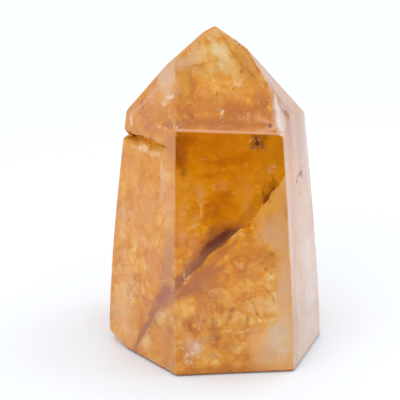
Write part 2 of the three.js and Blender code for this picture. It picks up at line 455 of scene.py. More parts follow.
# What the stone shows in particular places: along the flat and height of the middle, half the
# size across and up, turn in degrees, strength and colour, and the softness of the rim where it
# isn't the usual one. "frontAbove" and "frontUnder" are the front's, and stop at the fracture.
marks = {
    "front": [
        (-10.1, 51.9, 1.9, 3.8, 8, 0.7, (152, 78, 0)), (-9.2, 54.3, 2.8, 1.2, 0, 0.5, (168, 90, 0)),
        (-9.7, 51.4, 0.8, 1.7, 10, 0.4, (172, 96, 44)), (-8.9, 46.9, 0.9, 1.3, 0, 0.4, (152, 92, 14)),
        (7.3, 53.4, 2.3, 2.2, 0, 0.45, (166, 98, 14)), (7.3, 53.4, 1.4, 1.6, 0, 0.55, (146, 82, 10)),
        (7.3, 53.5, 0.5, 1.05, 0, 0.75, (112, 54, 4), 0.7),
        (5.4, 53.6, 0.7, 0.3, 30, 0.6, (232, 164, 90), 0.8),
        (6.0, 53.2, 0.5, 0.4, 0, 0.6, (132, 70, 8), 0.8),
        (9.1, 54.2, 0.7, 0.4, -30, 0.5, (142, 80, 10), 0.8),
        (6.6, 54.7, 0.35, 1.0, 30, 0.65, (132, 68, 8), 0.8),
        (5.9, 52.4, 0.7, 0.4, 20, 0.65, (122, 60, 8), 0.8),
        (8.6, 52.9, 0.45, 1.1, 15, 0.65, (128, 70, 12), 0.8), (8.1, 54.9, 1.4, 0.35, 0, 0.6, (136, 80, 12)),
        (6.9, 51.8, 0.5, 0.3, -20, 0.6, (222, 150, 60), 0.8),
        (7.9, 53.9, 0.3, 0.5, 0, 0.6, (206, 132, 36), 0.8),
        (10.3, 47.7, 0.9, 0.35, -5, 0.75, (238, 164, 104), 0.7),
        (10.1, 46.6, 0.9, 0.4, 6, 0.6, (232, 154, 86), 0.8), (12.0, 50.6, 1.3, 3.4, 0, 0.5, (204, 126, 16)),
        (9.4, 51.0, 1.8, 1.6, 0, 0.4, (206, 124, 14)), (1.6, 49.4, 3.6, 1.1, 6, 0.4, (184, 98, 2)),
        (-2.1, 52.8, 3.0, 1.1, -8, 0.35, (184, 98, 2)), (-5.4, 48.8, 2.2, 1.0, -20, 0.35, (212, 132, 22)),
        (3.3, 52.6, 2.2, 1.2, 10, 0.3, (212, 130, 16)), (-9.6, 45.2, 1.7, 2.4, 0, 0.6, (228, 152, 44)),
        (-9.0, 41.6, 1.6, 1.8, 20, 0.5, (226, 150, 58)), (-6.4, 43.0, 1.5, 1.9, -10, 0.5, (224, 146, 56)),
        (-5.4, 41.0, 0.75, 2.6, -4, 0.5, (226, 154, 78)),
        (-5.5, 38.5, 0.22, 1.5, -8, 0.45, (250, 194, 100), 0.8),
        (-6.4, 35.1, 1.1, 0.3, 24, 0.45, (250, 196, 104), 0.8),
        (-8.2, 34.6, 0.9, 0.4, -20, 0.5, (246, 188, 88), 0.8),
        (-9.3, 38.2, 0.8, 0.3, -30, 0.5, (248, 180, 96), 0.8),
        (-8.8, 37.6, 2.0, 1.6, 0, 0.5, (230, 152, 54)), (-10.4, 34.4, 1.4, 2.8, 0, 0.6, (234, 158, 78)),
        (-6.8, 36.0, 2.2, 1.2, 22, 0.45, (230, 152, 58)), (-8.2, 31.8, 2.6, 1.6, 35, 0.55, (228, 150, 72)),
        (-0.6, 43.6, 1.7, 1.4, -10, 0.45, (216, 138, 46)), (3.6, 43.8, 1.5, 2.4, 10, 0.4, (214, 134, 38)),
        (-0.3, 39.2, 3.4, 2.4, 0, 0.45, (186, 100, 2)), (4.9, 40.4, 1.1, 3.6, 12, 0.45, (214, 138, 56)),
        (1.2, 35.0, 2.0, 1.0, 15, 0.4, (212, 134, 46)), (-3.4, 37.4, 1.2, 1.6, 0, 0.4, (210, 130, 24)),
        (-4.7, 50.1, 1.0, 0.16, -26, 0.5, (232, 156, 70), 0.8),
        (-2.4, 46.4, 3.4, 0.5, 8, 0.35, (176, 96, 2)), (9.2, 41.6, 0.25, 2.0, 32, 0.6, (146, 78, 8)),
        (10.4, 43.6, 1.0, 1.2, -20, 0.6, (150, 80, 10)),
        (10.9, 43.0, 0.5, 0.4, 30, 0.7, (108, 50, 10), 0.7), (7.8, 45.6, 1.4, 1.8, 0, 0.35, (208, 130, 30)),
        (-0.6, 44.3, 1.5, 1.1, -10, 0.3, (216, 146, 76)), (5.3, 42.7, 1.0, 1.7, 8, 0.3, (218, 148, 76)),
        (4.6, 38.3, 0.9, 1.8, 10, 0.35, (220, 150, 84)), (-5.3, 42.2, 0.9, 1.9, 0, 0.35, (224, 156, 88)),
        (-9.7, 38.8, 1.0, 1.4, 0, 0.4, (228, 160, 92)), (-6.0, 37.1, 1.1, 0.8, 20, 0.4, (228, 158, 84)),
        (-7.0, 35.1, 1.1, 0.6, 24, 0.5, (236, 174, 116)), (-9.2, 33.0, 1.0, 1.1, 0, 0.5, (232, 166, 108)),
        (0.1, 52.0, 1.4, 0.9, -10, 0.5, (214, 136, 2)), (7.3, 50.0, 1.2, 0.9, 20, 0.5, (208, 130, 10)),
        (-1.2, 48.9, 1.6, 0.7, 8, 0.5, (168, 92, 6)), (0.0, 42.2, 1.3, 0.7, 10, 0.5, (170, 92, 6)),
        (-2.2, 37.2, 0.8, 1.2, 0, 0.45, (170, 94, 14)),
    ],
    "frontAbove": [
        # The first marks darken round the lens over the fracture and its tail to the lower left: painted
        # shade, where the fracture is seen through the front.
        (-1.5, 33.2, 3.6, 2.2, 44, 0.5, (162, 94, 34)), (-3.2, 33.2, 1.0, 1.8, -24, 0.5, (146, 82, 34)),
        (-7.4, 26.4, 2.8, 1.7, 45, 0.6, (190, 114, 66)), (-6.6, 30.2, 1.2, 1.4, 0, 0.45, (206, 134, 84)),
        (9.5, 41.0, 0.4, 1.4, -34, 0.85, (112, 58, 14), 0.8),
        (8.7, 41.6, 0.28, 1.6, 14, 0.75, (136, 72, 16), 0.8),
        (9.1, 40.1, 0.7, 0.5, 40, 0.7, (108, 54, 16), 0.8),
    ],
    "frontUnder": [
        # The first two are painted highlight along the underside of the fracture.
        (1.9, 32.4, 0.9, 0.35, 42, 0.7, (250, 190, 130), 0.8),
        (0.6, 30.4, 1.8, 0.3, 42, 0.45, (240, 170, 86), 0.8),
        (-0.9, 28.9, 1.8, 1.0, 30, 0.5, (212, 134, 54)), (3.2, 28.8, 2.2, 1.6, -20, 0.5, (210, 134, 18)),
        (4.6, 29.0, 1.0, 1.3, 10, 0.5, (224, 152, 50)), (6.0, 25.6, 1.5, 1.4, 0, 0.5, (228, 158, 70)),
        (8.2, 27.8, 2.6, 1.7, -16, 0.65, (206, 132, 30)),
        (10.5, 28.0, 0.7, 0.6, 0, 0.6, (156, 94, 20), 0.8), (10.7, 26.2, 0.8, 1.2, 10, 0.5, (214, 146, 44)),
        (4.9, 31.5, 1.9, 0.9, -10, 0.5, (208, 132, 14)),
        (9.1, 24.7, 0.4, 0.45, 0, 0.75, (152, 84, 56), 0.6), (5.4, 22.9, 3.4, 1.0, -8, 0.5, (206, 130, 40)),
        (3.0, 26.2, 0.16, 2.2, 8, 0.45, (176, 104, 40), 0.7),
        (7.1, 27.4, 0.16, 1.6, -30, 0.45, (176, 104, 40), 0.7),
        (-4.8, 23.0, 4.6, 1.8, 37, 0.6, (192, 114, 60)), (-2.6, 24.4, 2.6, 0.5, 42, 0.3, (174, 100, 46)),
        (-9.4, 20.2, 2.4, 1.0, 40, 0.6, (162, 94, 66)), (-6.4, 20.9, 2.0, 1.0, 38, 0.45, (186, 112, 72)),
        (-8.3, 23.7, 0.35, 0.7, -12, 0.75, (248, 208, 174), 0.6),
        (-7.5, 24.7, 0.35, 0.3, 0, 0.7, (244, 200, 164), 0.6),
        (-9.1, 22.6, 0.35, 0.3, 0, 0.7, (104, 58, 42), 0.6),
        (-8.8, 24.9, 0.3, 0.22, 0, 0.6, (124, 70, 48), 0.6),
        (-10.9, 20.6, 0.35, 0.28, 0, 0.85, (76, 40, 32), 0.6),
        (-10.4, 21.3, 0.4, 0.25, 0, 0.7, (250, 220, 200), 0.6),
        (-9.2, 15.6, 1.0, 2.3, 10, 0.75, (250, 192, 96), 0.8),
        (-10.6, 13.2, 0.8, 2.6, 0, 0.45, (240, 178, 104)),
        (-0.6, 18.8, 1.9, 1.4, -10, 0.65, (252, 190, 80), 0.8),
        (0.9, 17.0, 1.3, 1.2, 20, 0.55, (250, 186, 76), 0.8),
        (4.4, 20.4, 2.6, 0.9, -6, 0.55, (238, 172, 66)), (-2.6, 21.4, 2.6, 0.8, 10, 0.5, (214, 134, 44)),
        (-0.5, 13.4, 0.7, 2.9, -42, 0.6, (248, 186, 92), 0.8),
        (-2.8, 11.6, 1.0, 1.9, -10, 0.6, (180, 102, 40)), (-5.4, 15.0, 1.8, 3.8, -6, 0.55, (200, 118, 54)),
        (-5.8, 12.4, 0.3, 2.2, -14, 0.5, (238, 178, 116), 0.8),
        (6.2, 16.2, 1.5, 1.9, 10, 0.6, (238, 184, 108), 0.8),
        (8.8, 16.2, 1.4, 2.2, 20, 0.5, (236, 186, 128), 0.8),
        (6.1, 17.0, 0.2, 1.4, 12, 0.45, (168, 86, 0), 0.8),
        (7.0, 14.4, 0.2, 1.3, 36, 0.45, (168, 86, 0), 0.8),
        (9.7, 19.4, 0.2, 1.2, 44, 0.4, (174, 94, 0), 0.8),
        (10.8, 17.3, 0.2, 1.3, 12, 0.4, (176, 98, 6), 0.8),
        (4.8, 13.1, 0.35, 0.45, 0, 0.65, (150, 84, 26), 0.7),
        (5.4, 18.2, 1.3, 0.2, 30, 0.5, (164, 94, 30), 0.7),
        (1.4, 15.3, 0.7, 0.5, 30, 0.65, (152, 84, 30), 0.7),
        (0.9, 14.6, 0.2, 1.0, -40, 0.5, (158, 88, 34), 0.7),
        (2.6, 14.0, 0.4, 0.3, 0, 0.75, (255, 222, 170), 0.6), (3.1, 11.6, 1.3, 1.5, 0, 0.5, (222, 150, 44)),
        (0.4, 10.4, 1.4, 0.3, -8, 0.65, (250, 194, 100), 0.8),
        (3.2, 9.9, 1.3, 0.3, 14, 0.6, (250, 190, 96), 0.8),
        (5.2, 10.8, 0.8, 0.22, 8, 0.7, (255, 222, 180), 0.6),
        (4.3, 11.2, 0.25, 0.2, 0, 0.6, (170, 90, 40), 0.6), (-3.0, 9.0, 1.8, 0.6, 8, 0.6, (172, 100, 66)),
        (-4.2, 8.9, 0.7, 0.35, -20, 0.4, (226, 176, 140), 0.7),
        (-2.2, 8.6, 0.5, 0.25, 0, 0.55, (140, 76, 56), 0.7),
        (-9.0, 9.2, 1.3, 1.4, 0, 0.35, (236, 180, 120)), (-7.2, 6.9, 1.7, 2.1, 0, 0.6, (232, 184, 152)),
        (-6.6, 7.0, 0.9, 1.3, 10, 0.6, (246, 214, 196)), (-8.4, 5.0, 1.3, 1.9, 0, 0.4, (228, 168, 116)),
        (-7.4, 5.6, 0.3, 0.35, 0, 0.85, (255, 236, 216), 0.6),
        (-8.6, 5.2, 0.3, 0.4, 0, 0.85, (255, 240, 220), 0.6),
        (-8.9, 3.6, 0.25, 0.4, 15, 0.8, (255, 228, 196), 0.6),
        (-7.9, 3.2, 0.3, 0.3, 0, 0.75, (252, 220, 184), 0.6),
        (-8.1, 4.2, 0.25, 0.25, 0, 0.7, (150, 88, 54), 0.6),
        (-6.4, 4.6, 0.25, 0.3, 0, 0.7, (255, 226, 196), 0.6),
        (-9.6, 6.6, 0.25, 0.5, 20, 0.6, (250, 214, 180), 0.7),
        (-3.8, 4.9, 0.5, 0.2, 14, 0.75, (255, 220, 176), 0.6),
        (-2.4, 5.1, 0.4, 0.18, 0, 0.7, (255, 220, 180), 0.6),
        (-5.0, 4.3, 0.3, 0.2, 0, 0.6, (250, 210, 160), 0.6),
        (-5.2, 8.2, 0.3, 0.9, -20, 0.5, (240, 180, 140), 0.8),
        (1.0, 6.8, 2.4, 1.2, 0, 0.45, (200, 122, 42)), (4.6, 5.0, 1.8, 1.4, 0, 0.4, (206, 130, 46)),
        (-1.5, 0.9, 7.5, 1.1, 0, 0.75, (200, 124, 14)), (4.4, 2.3, 3.0, 0.9, 4, 0.45, (230, 150, 58)),
        (11.8, 9.4, 2.6, 3.4, 10, 0.5, (232, 190, 150)), (9.2, 4.4, 3.0, 2.6, 0, 0.5, (226, 180, 132)),
        (12.2, 8.0, 0.6, 0.6, 0, 0.5, (246, 212, 190), 0.8),
        (13.3, 5.2, 1.4, 0.6, 8, 0.6, (242, 206, 182), 0.8),
        (12.4, 3.4, 0.25, 1.0, 0, 0.4, (242, 200, 180)), (9.4, 33.6, 2.4, 4.0, -30, 0.5, (222, 164, 108)),
        (13.3, 33.4, 1.1, 7.0, 0, 0.55, (224, 168, 118)), (13.0, 20.0, 1.6, 7.0, 0, 0.6, (234, 184, 138)),
        (13.8, 37.6, 0.7, 1.6, 0, 0.5, (206, 138, 56)), (10.9, 39.7, 1.2, 0.35, 50, 0.5, (238, 180, 120)),
        (6.8, 8.2, 2.2, 3.2, -20, 0.6, (252, 190, 122)), (9.6, 2.8, 2.4, 1.1, 0, 0.55, (242, 186, 128)),
        (-2.2, 18.9, 2.0, 1.1, -15, 0.55, (188, 108, 48)), (-3.6, 21.0, 3.0, 1.2, 30, 0.45, (182, 106, 54)),
        (-9.4, 19.6, 1.2, 1.8, 0, 0.4, (190, 116, 70)), (-4.9, 8.3, 1.3, 0.9, 0, 0.55, (192, 118, 56)),
        (-2.6, 4.6, 1.4, 0.8, 0, 0.5, (202, 126, 50)),
    ],
    "left": [
        (-8.0, 7.0, 4.4, 6.4, 0, 0.65, (255, 182, 106)), (8.4, 23.0, 2.2, 7.0, 0, 0.6, (196, 126, 74)),
        (-5.2, 52.8, 3.2, 0.7, 3, 0.5, (224, 150, 56)), (-1.6, 49.4, 2.4, 0.5, 0, 0.5, (242, 192, 130)),
        (2.0, 49.8, 1.6, 0.6, 0, 0.5, (236, 180, 120)), (6.8, 52.6, 2.4, 3.0, 0, 0.65, (204, 134, 94)),
        (7.6, 49.6, 1.6, 2.4, 0, 0.4, (212, 142, 104)), (-1.4, 55.0, 1.3, 1.0, 20, 0.6, (190, 118, 96)),
        (2.6, 56.0, 0.8, 0.6, 0, 0.6, (246, 196, 150), 0.8),
        (5.4, 56.4, 0.7, 1.2, -30, 0.5, (244, 190, 150), 0.8),
        # Painted highlight on the corner of the tip.
        (-7.4, 55.3, 0.7, 1.6, 2, 0.75, (250, 220, 200), 0.8),
        (4.2, 46.4, 0.7, 2.6, 6, 0.6, (248, 206, 170)), (5.0, 43.0, 0.9, 3.6, -4, 0.5, (244, 198, 158)),
        (7.8, 38.0, 1.4, 7.0, 0, 0.45, (228, 166, 120)), (8.3, 28.0, 1.8, 6.0, 0, 0.65, (206, 144, 104)),
        (-5.0, 41.0, 1.1, 6.0, 4, 0.35, (236, 170, 104)), (-8.7, 32.0, 0.8, 3.6, 4, 0.45, (246, 200, 160)),
        (-0.4, 34.4, 2.0, 2.4, 0, 0.4, (232, 166, 92)), (-2.4, 29.0, 2.2, 2.0, 20, 0.4, (238, 174, 100)),
        (1.8, 31.4, 0.18, 2.4, -16, 0.5, (198, 122, 70), 0.7),
        (0.0, 26.6, 0.18, 2.6, 6, 0.45, (200, 126, 74), 0.7),
        (3.0, 24.6, 2.5, 4.0, -8, 0.5, (228, 142, 80), 0.8),
        (3.4, 28.2, 1.8, 0.3, -20, 0.5, (240, 180, 112), 0.8),
        (2.4, 20.2, 2.2, 2.0, 0, 0.5, (220, 134, 76)), (6.4, 24.0, 0.5, 3.4, -6, 0.5, (196, 128, 94)),
        (6.9, 19.2, 1.6, 1.8, -20, 0.5, (190, 122, 100)), (6.4, 16.4, 1.2, 1.6, -20, 0.5, (200, 132, 108)),
        (9.0, 17.0, 0.9, 2.4, 0, 0.4, (226, 160, 112)),
        (9.9, 20.0, 0.35, 0.5, 0, 0.8, (255, 218, 200), 0.6),
        (9.0, 20.6, 0.3, 0.3, 0, 0.6, (246, 204, 180), 0.6),
        (10.4, 18.4, 0.25, 0.5, 0, 0.6, (246, 204, 180), 0.6),
        (8.4, 14.4, 1.3, 1.2, 0, 0.5, (236, 180, 122)),
        (5.8, 12.2, 1.7, 1.8, 0, 0.75, (250, 200, 128), 0.8),
        (4.6, 12.6, 0.3, 0.3, 0, 0.6, (255, 222, 180), 0.6),
        (6.8, 13.2, 0.25, 0.25, 0, 0.5, (255, 218, 170), 0.6), (7.4, 8.6, 1.8, 2.2, 0, 0.4, (224, 154, 96)),
        (1.0, 4.4, 1.4, 2.4, -14, 0.85, (252, 204, 132), 0.7),
        (2.9, 3.8, 1.1, 1.8, 0, 0.5, (236, 174, 100)),
        (-4.6, 15.0, 0.7, 0.7, 0, 0.65, (250, 204, 150), 0.7),
        (-3.6, 16.2, 0.4, 0.8, -20, 0.6, (248, 200, 150), 0.7),
        (-6.0, 13.4, 0.5, 0.45, 0, 0.55, (184, 116, 72), 0.8),
        (-4.4, 13.2, 0.8, 0.3, 10, 0.5, (190, 122, 78), 0.8),
        (-3.4, 18.4, 0.2, 3.6, -26, 0.55, (192, 120, 72), 0.7),
        (-5.4, 16.4, 0.25, 0.9, -30, 0.5, (196, 124, 76), 0.7),
        (-8.4, 12.0, 2.4, 4.6, 0, 0.55, (242, 190, 126)), (-6.4, 18.6, 1.8, 1.8, 0, 0.5, (244, 192, 128)),
        (-10.2, 8.0, 1.6, 3.0, 0, 0.4, (238, 182, 118)), (-3.4, 10.2, 1.6, 2.4, -10, 0.4, (222, 150, 92)),
        (-5.4, 6.4, 1.6, 2.0, 0, 0.4, (230, 164, 100)), (8.2, 5.0, 3.0, 3.4, 0, 0.5, (238, 154, 84)),
        (9.4, 1.8, 2.6, 1.0, 0, 0.5, (204, 132, 80)), (0.2, 1.0, 9.0, 0.7, 0, 0.35, (206, 132, 84)),
    ],
    "tipFront": [
        (-1.1, 72.0, 0.9, 1.3, 20, 0.6, (252, 208, 140)), (-0.4, 71.0, 0.6, 0.7, 30, 0.6, (255, 218, 156)),
        (0.6, 69.7, 0.8, 1.2, 34, 0.45, (250, 204, 124)), (1.7, 68.4, 0.8, 1.2, 36, 0.4, (244, 194, 104)),
        (1.3, 69.8, 0.3, 0.7, 30, 0.7, (255, 232, 190), 0.8),
        (0.2, 68.6, 0.18, 1.8, 30, 0.5, (180, 112, 40), 0.7),
        (2.6, 66.6, 1.2, 1.6, 26, 0.5, (240, 186, 100)),
        (3.2, 64.5, 1.0, 0.35, -6, 0.75, (252, 208, 136), 0.7),
        (4.3, 65.2, 0.3, 0.8, -30, 0.6, (246, 196, 122), 0.7),
        (2.2, 65.2, 0.3, 0.8, 25, 0.55, (244, 192, 118), 0.7),
        (-0.9, 66.6, 0.9, 2.6, 16, 0.65, (232, 156, 46)), (-2.2, 68.6, 0.7, 2.2, 6, 0.5, (246, 180, 92)),
        (-5.0, 70.8, 2.0, 2.1, 0, 0.65, (255, 198, 126), 0.8),
        (-3.4, 70.4, 0.25, 1.5, 4, 0.5, (252, 220, 164), 0.8),
        (-6.4, 69.6, 0.8, 0.7, 0, 0.5, (250, 212, 160)),
        (-4.6, 72.0, 0.25, 0.9, -20, 0.5, (206, 136, 40), 0.8),
        (-5.2, 68.2, 2.4, 0.2, 3, 0.35, (184, 116, 12), 0.7),
        (-3.4, 68.4, 0.7, 0.2, 20, 0.3, (180, 112, 12), 0.7),
        (-6.6, 67.7, 1.2, 0.16, -4, 0.45, (176, 110, 20), 0.7),
        (-4.6, 67.0, 1.8, 0.9, 0, 0.4, (238, 176, 96)), (-8.8, 65.6, 1.7, 3.2, 4, 0.75, (228, 160, 44)),
        (-7.4, 65.2, 0.9, 1.6, 0, 0.6, (210, 138, 6)), (-6.7, 65.2, 0.35, 1.6, 10, 0.6, (184, 114, 2)),
        (-7.3, 63.2, 0.6, 0.4, 50, 0.6, (184, 112, 4)), (-9.3, 63.0, 0.8, 1.6, 0, 0.5, (206, 134, 46)),
        (-8.0, 60.6, 2.0, 0.3, 28, 0.6, (162, 98, 28), 0.8),
        (-9.6, 58.9, 0.5, 1.2, 30, 0.5, (178, 108, 44)), (-8.2, 57.9, 1.3, 0.5, 0, 0.6, (178, 108, 44)),
        (-2.1, 63.1, 0.4, 0.35, 0, 0.75, (252, 196, 120), 0.6),
        (-1.7, 62.6, 0.22, 0.5, 0, 0.85, (142, 66, 28), 0.6),
        (2.0, 63.4, 0.16, 0.4, 0, 0.7, (160, 90, 30), 0.6), (-4.0, 63.4, 1.8, 1.1, 0, 0.4, (236, 166, 88)),
        (2.4, 71.2, 0.4, 0.9, 26, 0.4, (196, 128, 20)), (3.7, 69.4, 0.6, 1.7, 30, 0.5, (204, 136, 14)),
        (4.4, 68.1, 0.4, 0.35, 0, 0.6, (158, 94, 8), 0.7),
        (5.6, 67.0, 0.3, 1.5, 48, 0.45, (184, 114, 4), 0.8),
        (6.8, 66.0, 0.6, 0.35, -20, 0.65, (164, 98, 6), 0.8),
        (4.2, 66.9, 0.35, 0.25, 20, 0.65, (150, 92, 22), 0.7),
        (4.6, 70.0, 1.3, 1.5, 20, 0.6, (228, 158, 40)), (6.2, 68.4, 0.9, 1.6, 34, 0.5, (232, 164, 64)),
        (5.4, 64.2, 1.6, 1.6, 0, 0.4, (222, 146, 40)), (0.6, 61.6, 3.4, 1.6, 0, 0.45, (206, 126, 40)),
        (7.8, 62.0, 1.0, 2.8, 8, 0.5, (200, 126, 52)), (8.3, 60.0, 0.2, 1.8, 8, 0.5, (160, 88, 34), 0.8),
        (6.9, 61.6, 0.16, 1.4, 6, 0.45, (168, 96, 36), 0.8),
        (8.8, 64.2, 0.3, 1.4, 20, 0.5, (238, 180, 116), 0.8),
        (2.6, 59.6, 5.0, 1.2, -2, 0.72, (192, 108, 26)), (-4.0, 60.4, 3.4, 1.6, 0, 0.45, (204, 126, 46)),
        (-1.0, 58.7, 0.2, 1.3, -6, 0.8, (250, 206, 158), 0.7),
        (-0.7, 59.5, 0.3, 0.25, 0, 0.85, (255, 236, 204), 0.6),
        (1.6, 58.6, 0.16, 1.0, 5, 0.55, (170, 88, 44), 0.8),
        (3.4, 58.4, 0.16, 1.0, 0, 0.55, (172, 92, 48), 0.8),
        (4.8, 58.2, 0.25, 0.9, 0, 0.55, (246, 186, 134), 0.8),
        (5.9, 58.6, 0.16, 1.1, 5, 0.5, (172, 94, 48), 0.8),
        (2.5, 58.1, 0.22, 0.7, 0, 0.45, (238, 176, 120), 0.8),
        (7.2, 58.2, 0.2, 0.9, 0, 0.5, (240, 184, 140), 0.8),
        # The pale marks round the dark spot here are painted highlight, spreading from the shoulder facet.
        (10.3, 56.3, 1.3, 0.7, 0, 0.6, (246, 202, 168)),
        (10.7, 57.8, 0.4, 1.4, 8, 0.6, (250, 210, 176), 0.8),
        (8.2, 55.8, 1.8, 0.4, 0, 0.5, (238, 184, 146), 0.8),
        (8.7, 57.2, 0.5, 0.4, 0, 0.5, (250, 212, 182), 0.8),
        (9.4, 56.5, 0.4, 0.4, 0, 0.85, (132, 62, 22), 0.6),
        (6.6, 57.4, 0.5, 0.3, 0, 0.5, (236, 176, 130), 0.7),
        (-2.0, 57.4, 9.6, 1.1, -3, 0.75, (188, 106, 40)), (0.5, 56.4, 10.0, 0.35, -3, 0.3, (226, 156, 112)),
        (-10.2, 57.1, 2.0, 1.2, 0, 0.75, (188, 112, 58), 1.0),
        (-10.6, 57.4, 0.7, 0.8, 0, 0.4, (196, 124, 104), 0.8),
        # Painted highlight where the ridges meet at the corner.
        (-11.0, 56.7, 0.35, 0.3, 0, 0.85, (255, 232, 210), 0.6),
        (3.0, 73.0, 0.7, 0.35, -35, 0.7, (252, 224, 206), 0.7),
        (3.9, 72.4, 0.4, 0.3, -35, 0.7, (250, 214, 196), 0.6),
        (4.3, 71.9, 0.35, 0.3, 0, 0.75, (110, 64, 36), 0.6), (-1.4, 74.2, 2.0, 1.1, 0, 0.6, (244, 168, 96)),
        (-8.2, 68.8, 2.6, 1.2, 10, 0.65, (236, 188, 146)), (-6.0, 69.4, 1.4, 1.0, 0, 0.5, (236, 184, 128)),
        (-10.3, 64.2, 0.9, 1.8, 0, 0.5, (232, 174, 118)),
    ],
    "tipLeft": [
        (2.1, 62.1, 0.8, 0.8, 20, 0.85, (255, 246, 234)), (1.4, 61.4, 1.3, 1.1, 30, 0.45, (246, 206, 172)),
        (0.9, 60.5, 0.5, 0.4, 0, 0.6, (252, 226, 198), 0.7),
        # Painted highlight on the corner of the tip.
        (-8.0, 55.4, 0.7, 1.6, 2, 0.75, (250, 224, 204), 0.8),
        (-3.8, 61.4, 0.8, 2.6, 40, 0.35, (240, 196, 170)), (-2.4, 64.4, 1.0, 2.4, 40, 0.5, (240, 198, 170)),
        (-5.6, 59.0, 0.5, 1.6, 40, 0.6, (184, 108, 84), 0.8),
        (-6.6, 58.2, 0.8, 1.0, 30, 0.5, (232, 160, 90)), (-2.3, 54.9, 1.3, 1.0, 20, 0.55, (188, 116, 96)),
        (4.0, 58.4, 0.4, 0.35, 0, 0.6, (248, 204, 160), 0.7),
        (5.6, 57.2, 1.0, 0.7, 0, 0.5, (198, 128, 104)),
        (6.9, 55.4, 0.6, 0.7, -30, 0.4, (236, 184, 144), 0.8),
        (4.7, 56.6, 1.9, 1.2, 0, 0.7, (190, 114, 66), 1.0),
        (-2.6, 57.4, 0.35, 0.3, 0, 0.6, (250, 206, 166), 0.7),
        (0.6, 56.2, 0.7, 0.5, 0, 0.6, (248, 200, 158), 0.8),
        (-4.6, 56.4, 2.2, 1.6, 20, 0.5, (200, 126, 76)), (2.6, 58.8, 2.0, 1.0, 0, 0.45, (202, 130, 70)),
        (-0.4, 55.2, 2.6, 1.0, 0, 0.4, (204, 130, 80)), (-3.0, 58.2, 1.6, 1.2, 30, 0.4, (204, 128, 74)),
        (-1.0, 59.0, 1.8, 0.8, 24, 0.4, (208, 134, 86)), (5.4, 60.4, 1.4, 1.4, 0, 0.5, (212, 140, 66)),
        (2.8, 64.8, 1.4, 1.4, 0, 0.5, (222, 154, 78)), (-1.4, 66.6, 2.6, 4.4, 38, 0.8, (244, 206, 172)),
    ],
    "right": [
        (-1.0, 52.5, 9.0, 6.0, 0, 0.45, (208, 180, 178)), (4.0, 46.0, 2.4, 9.0, 0, 0.35, (224, 202, 202)),
        (-0.3, 42.7, 1.5, 0.55, 0, 0.9, (118, 62, 26), 0.7),
        (-3.7, 41.7, 0.9, 0.3, 8, 0.65, (142, 90, 62), 0.7),
        (-2.6, 42.6, 0.9, 0.3, 10, 0.7, (160, 108, 80), 0.7),
        (0.8, 44.2, 1.4, 0.5, 0, 0.5, (190, 138, 112), 0.8),
        (-0.2, 43.5, 1.0, 0.35, 0, 0.55, (176, 122, 96), 0.7),
        (-5.2, 43.0, 0.9, 0.3, 0, 0.45, (184, 132, 104), 0.7),
        (1.2, 41.2, 0.3, 0.3, 0, 0.6, (250, 226, 212), 0.7),
        (-1.2, 42.8, 0.5, 0.3, 0, 0.45, (190, 138, 116), 0.8),
        # The tall narrow bands below are painted reflections of the room in the flat.
        (-5.0, 55.0, 1.5, 6.0, 0, 0.65, (208, 156, 140)), (-2.4, 52.0, 0.7, 8.0, 0, 0.5, (232, 204, 200)),
        (0.4, 53.0, 1.1, 7.0, 0, 0.55, (214, 178, 174)), (3.2, 50.0, 0.9, 10.0, 0, 0.4, (226, 200, 198)),
        (5.6, 47.0, 0.9, 13.0, 0, 0.6, (246, 234, 236)), (-4.6, 44.0, 0.8, 8.0, 0, 0.35, (222, 182, 166)),
        (-5.4, 57.6, 0.5, 1.1, 0, 0.85, (168, 98, 44), 0.7),
        (-6.6, 55.0, 0.7, 2.6, 0, 0.55, (190, 130, 108)), (-7.6, 30.0, 0.8, 14.0, 0, 0.4, (238, 212, 186)),
        (-11.0, 9.0, 2.2, 10.0, -4, 0.75, (220, 176, 130)),
        (-1.6, 25.0, 3.4, 10.0, 0, 0.35, (240, 220, 208)),
        (-1.8, 38.6, 0.5, 0.5, 0, 0.4, (206, 170, 152), 0.8),
        (-4.8, 17.0, 2.2, 6.0, 0, 0.35, (236, 204, 180)), (-0.3, 5.0, 1.8, 2.4, 0, 0.3, (238, 214, 200)),
        (-2.0, 3.0, 9.0, 4.6, 0, 0.4, (246, 208, 176)),
    ],
    "tipRight": [
        # The first two are painted shade beside the shoulder facet.
        (-7.2, 60.4, 0.6, 3.2, 18, 0.8, (186, 124, 98)), (-5.6, 60.2, 1.0, 3.0, 18, 0.5, (214, 160, 140)),
        (-8.3, 58.5, 0.5, 0.5, 0, 0.85, (168, 100, 48), 0.7),
        (-2.4, 60.4, 0.8, 4.0, 12, 0.45, (220, 178, 168)),
        (-5.4, 58.4, 0.6, 0.7, 0, 0.7, (190, 122, 90), 0.8),
        (-3.8, 66.0, 0.8, 3.0, 20, 0.4, (236, 204, 190)), (0.6, 57.6, 3.0, 0.8, 0, 0.4, (206, 168, 160)),
    ],
    "shoulder": [
        # The shoulder facet is painted as the light it catches: a white painted highlight in the middle,
        # painted shade on its right, and the tip's orange over its left strip.
        (4.8, 59.8, 1.15, 5.2, -16, 0.9, (208, 136, 80), 0.7),
        (7.9, 58.8, 0.7, 3.4, 16, 0.75, (206, 152, 124), 0.8),
        (6.4, 62.9, 0.7, 1.5, 10, 0.9, (226, 158, 104), 0.8),
        (6.9, 61.4, 0.3, 0.8, 12, 0.7, (250, 226, 206), 0.7),
        (8.3, 58.4, 0.4, 0.5, 0, 0.85, (172, 104, 54), 0.7),
        (5.0, 55.6, 0.6, 0.9, 0, 0.6, (220, 160, 120), 0.8),
    ],
}


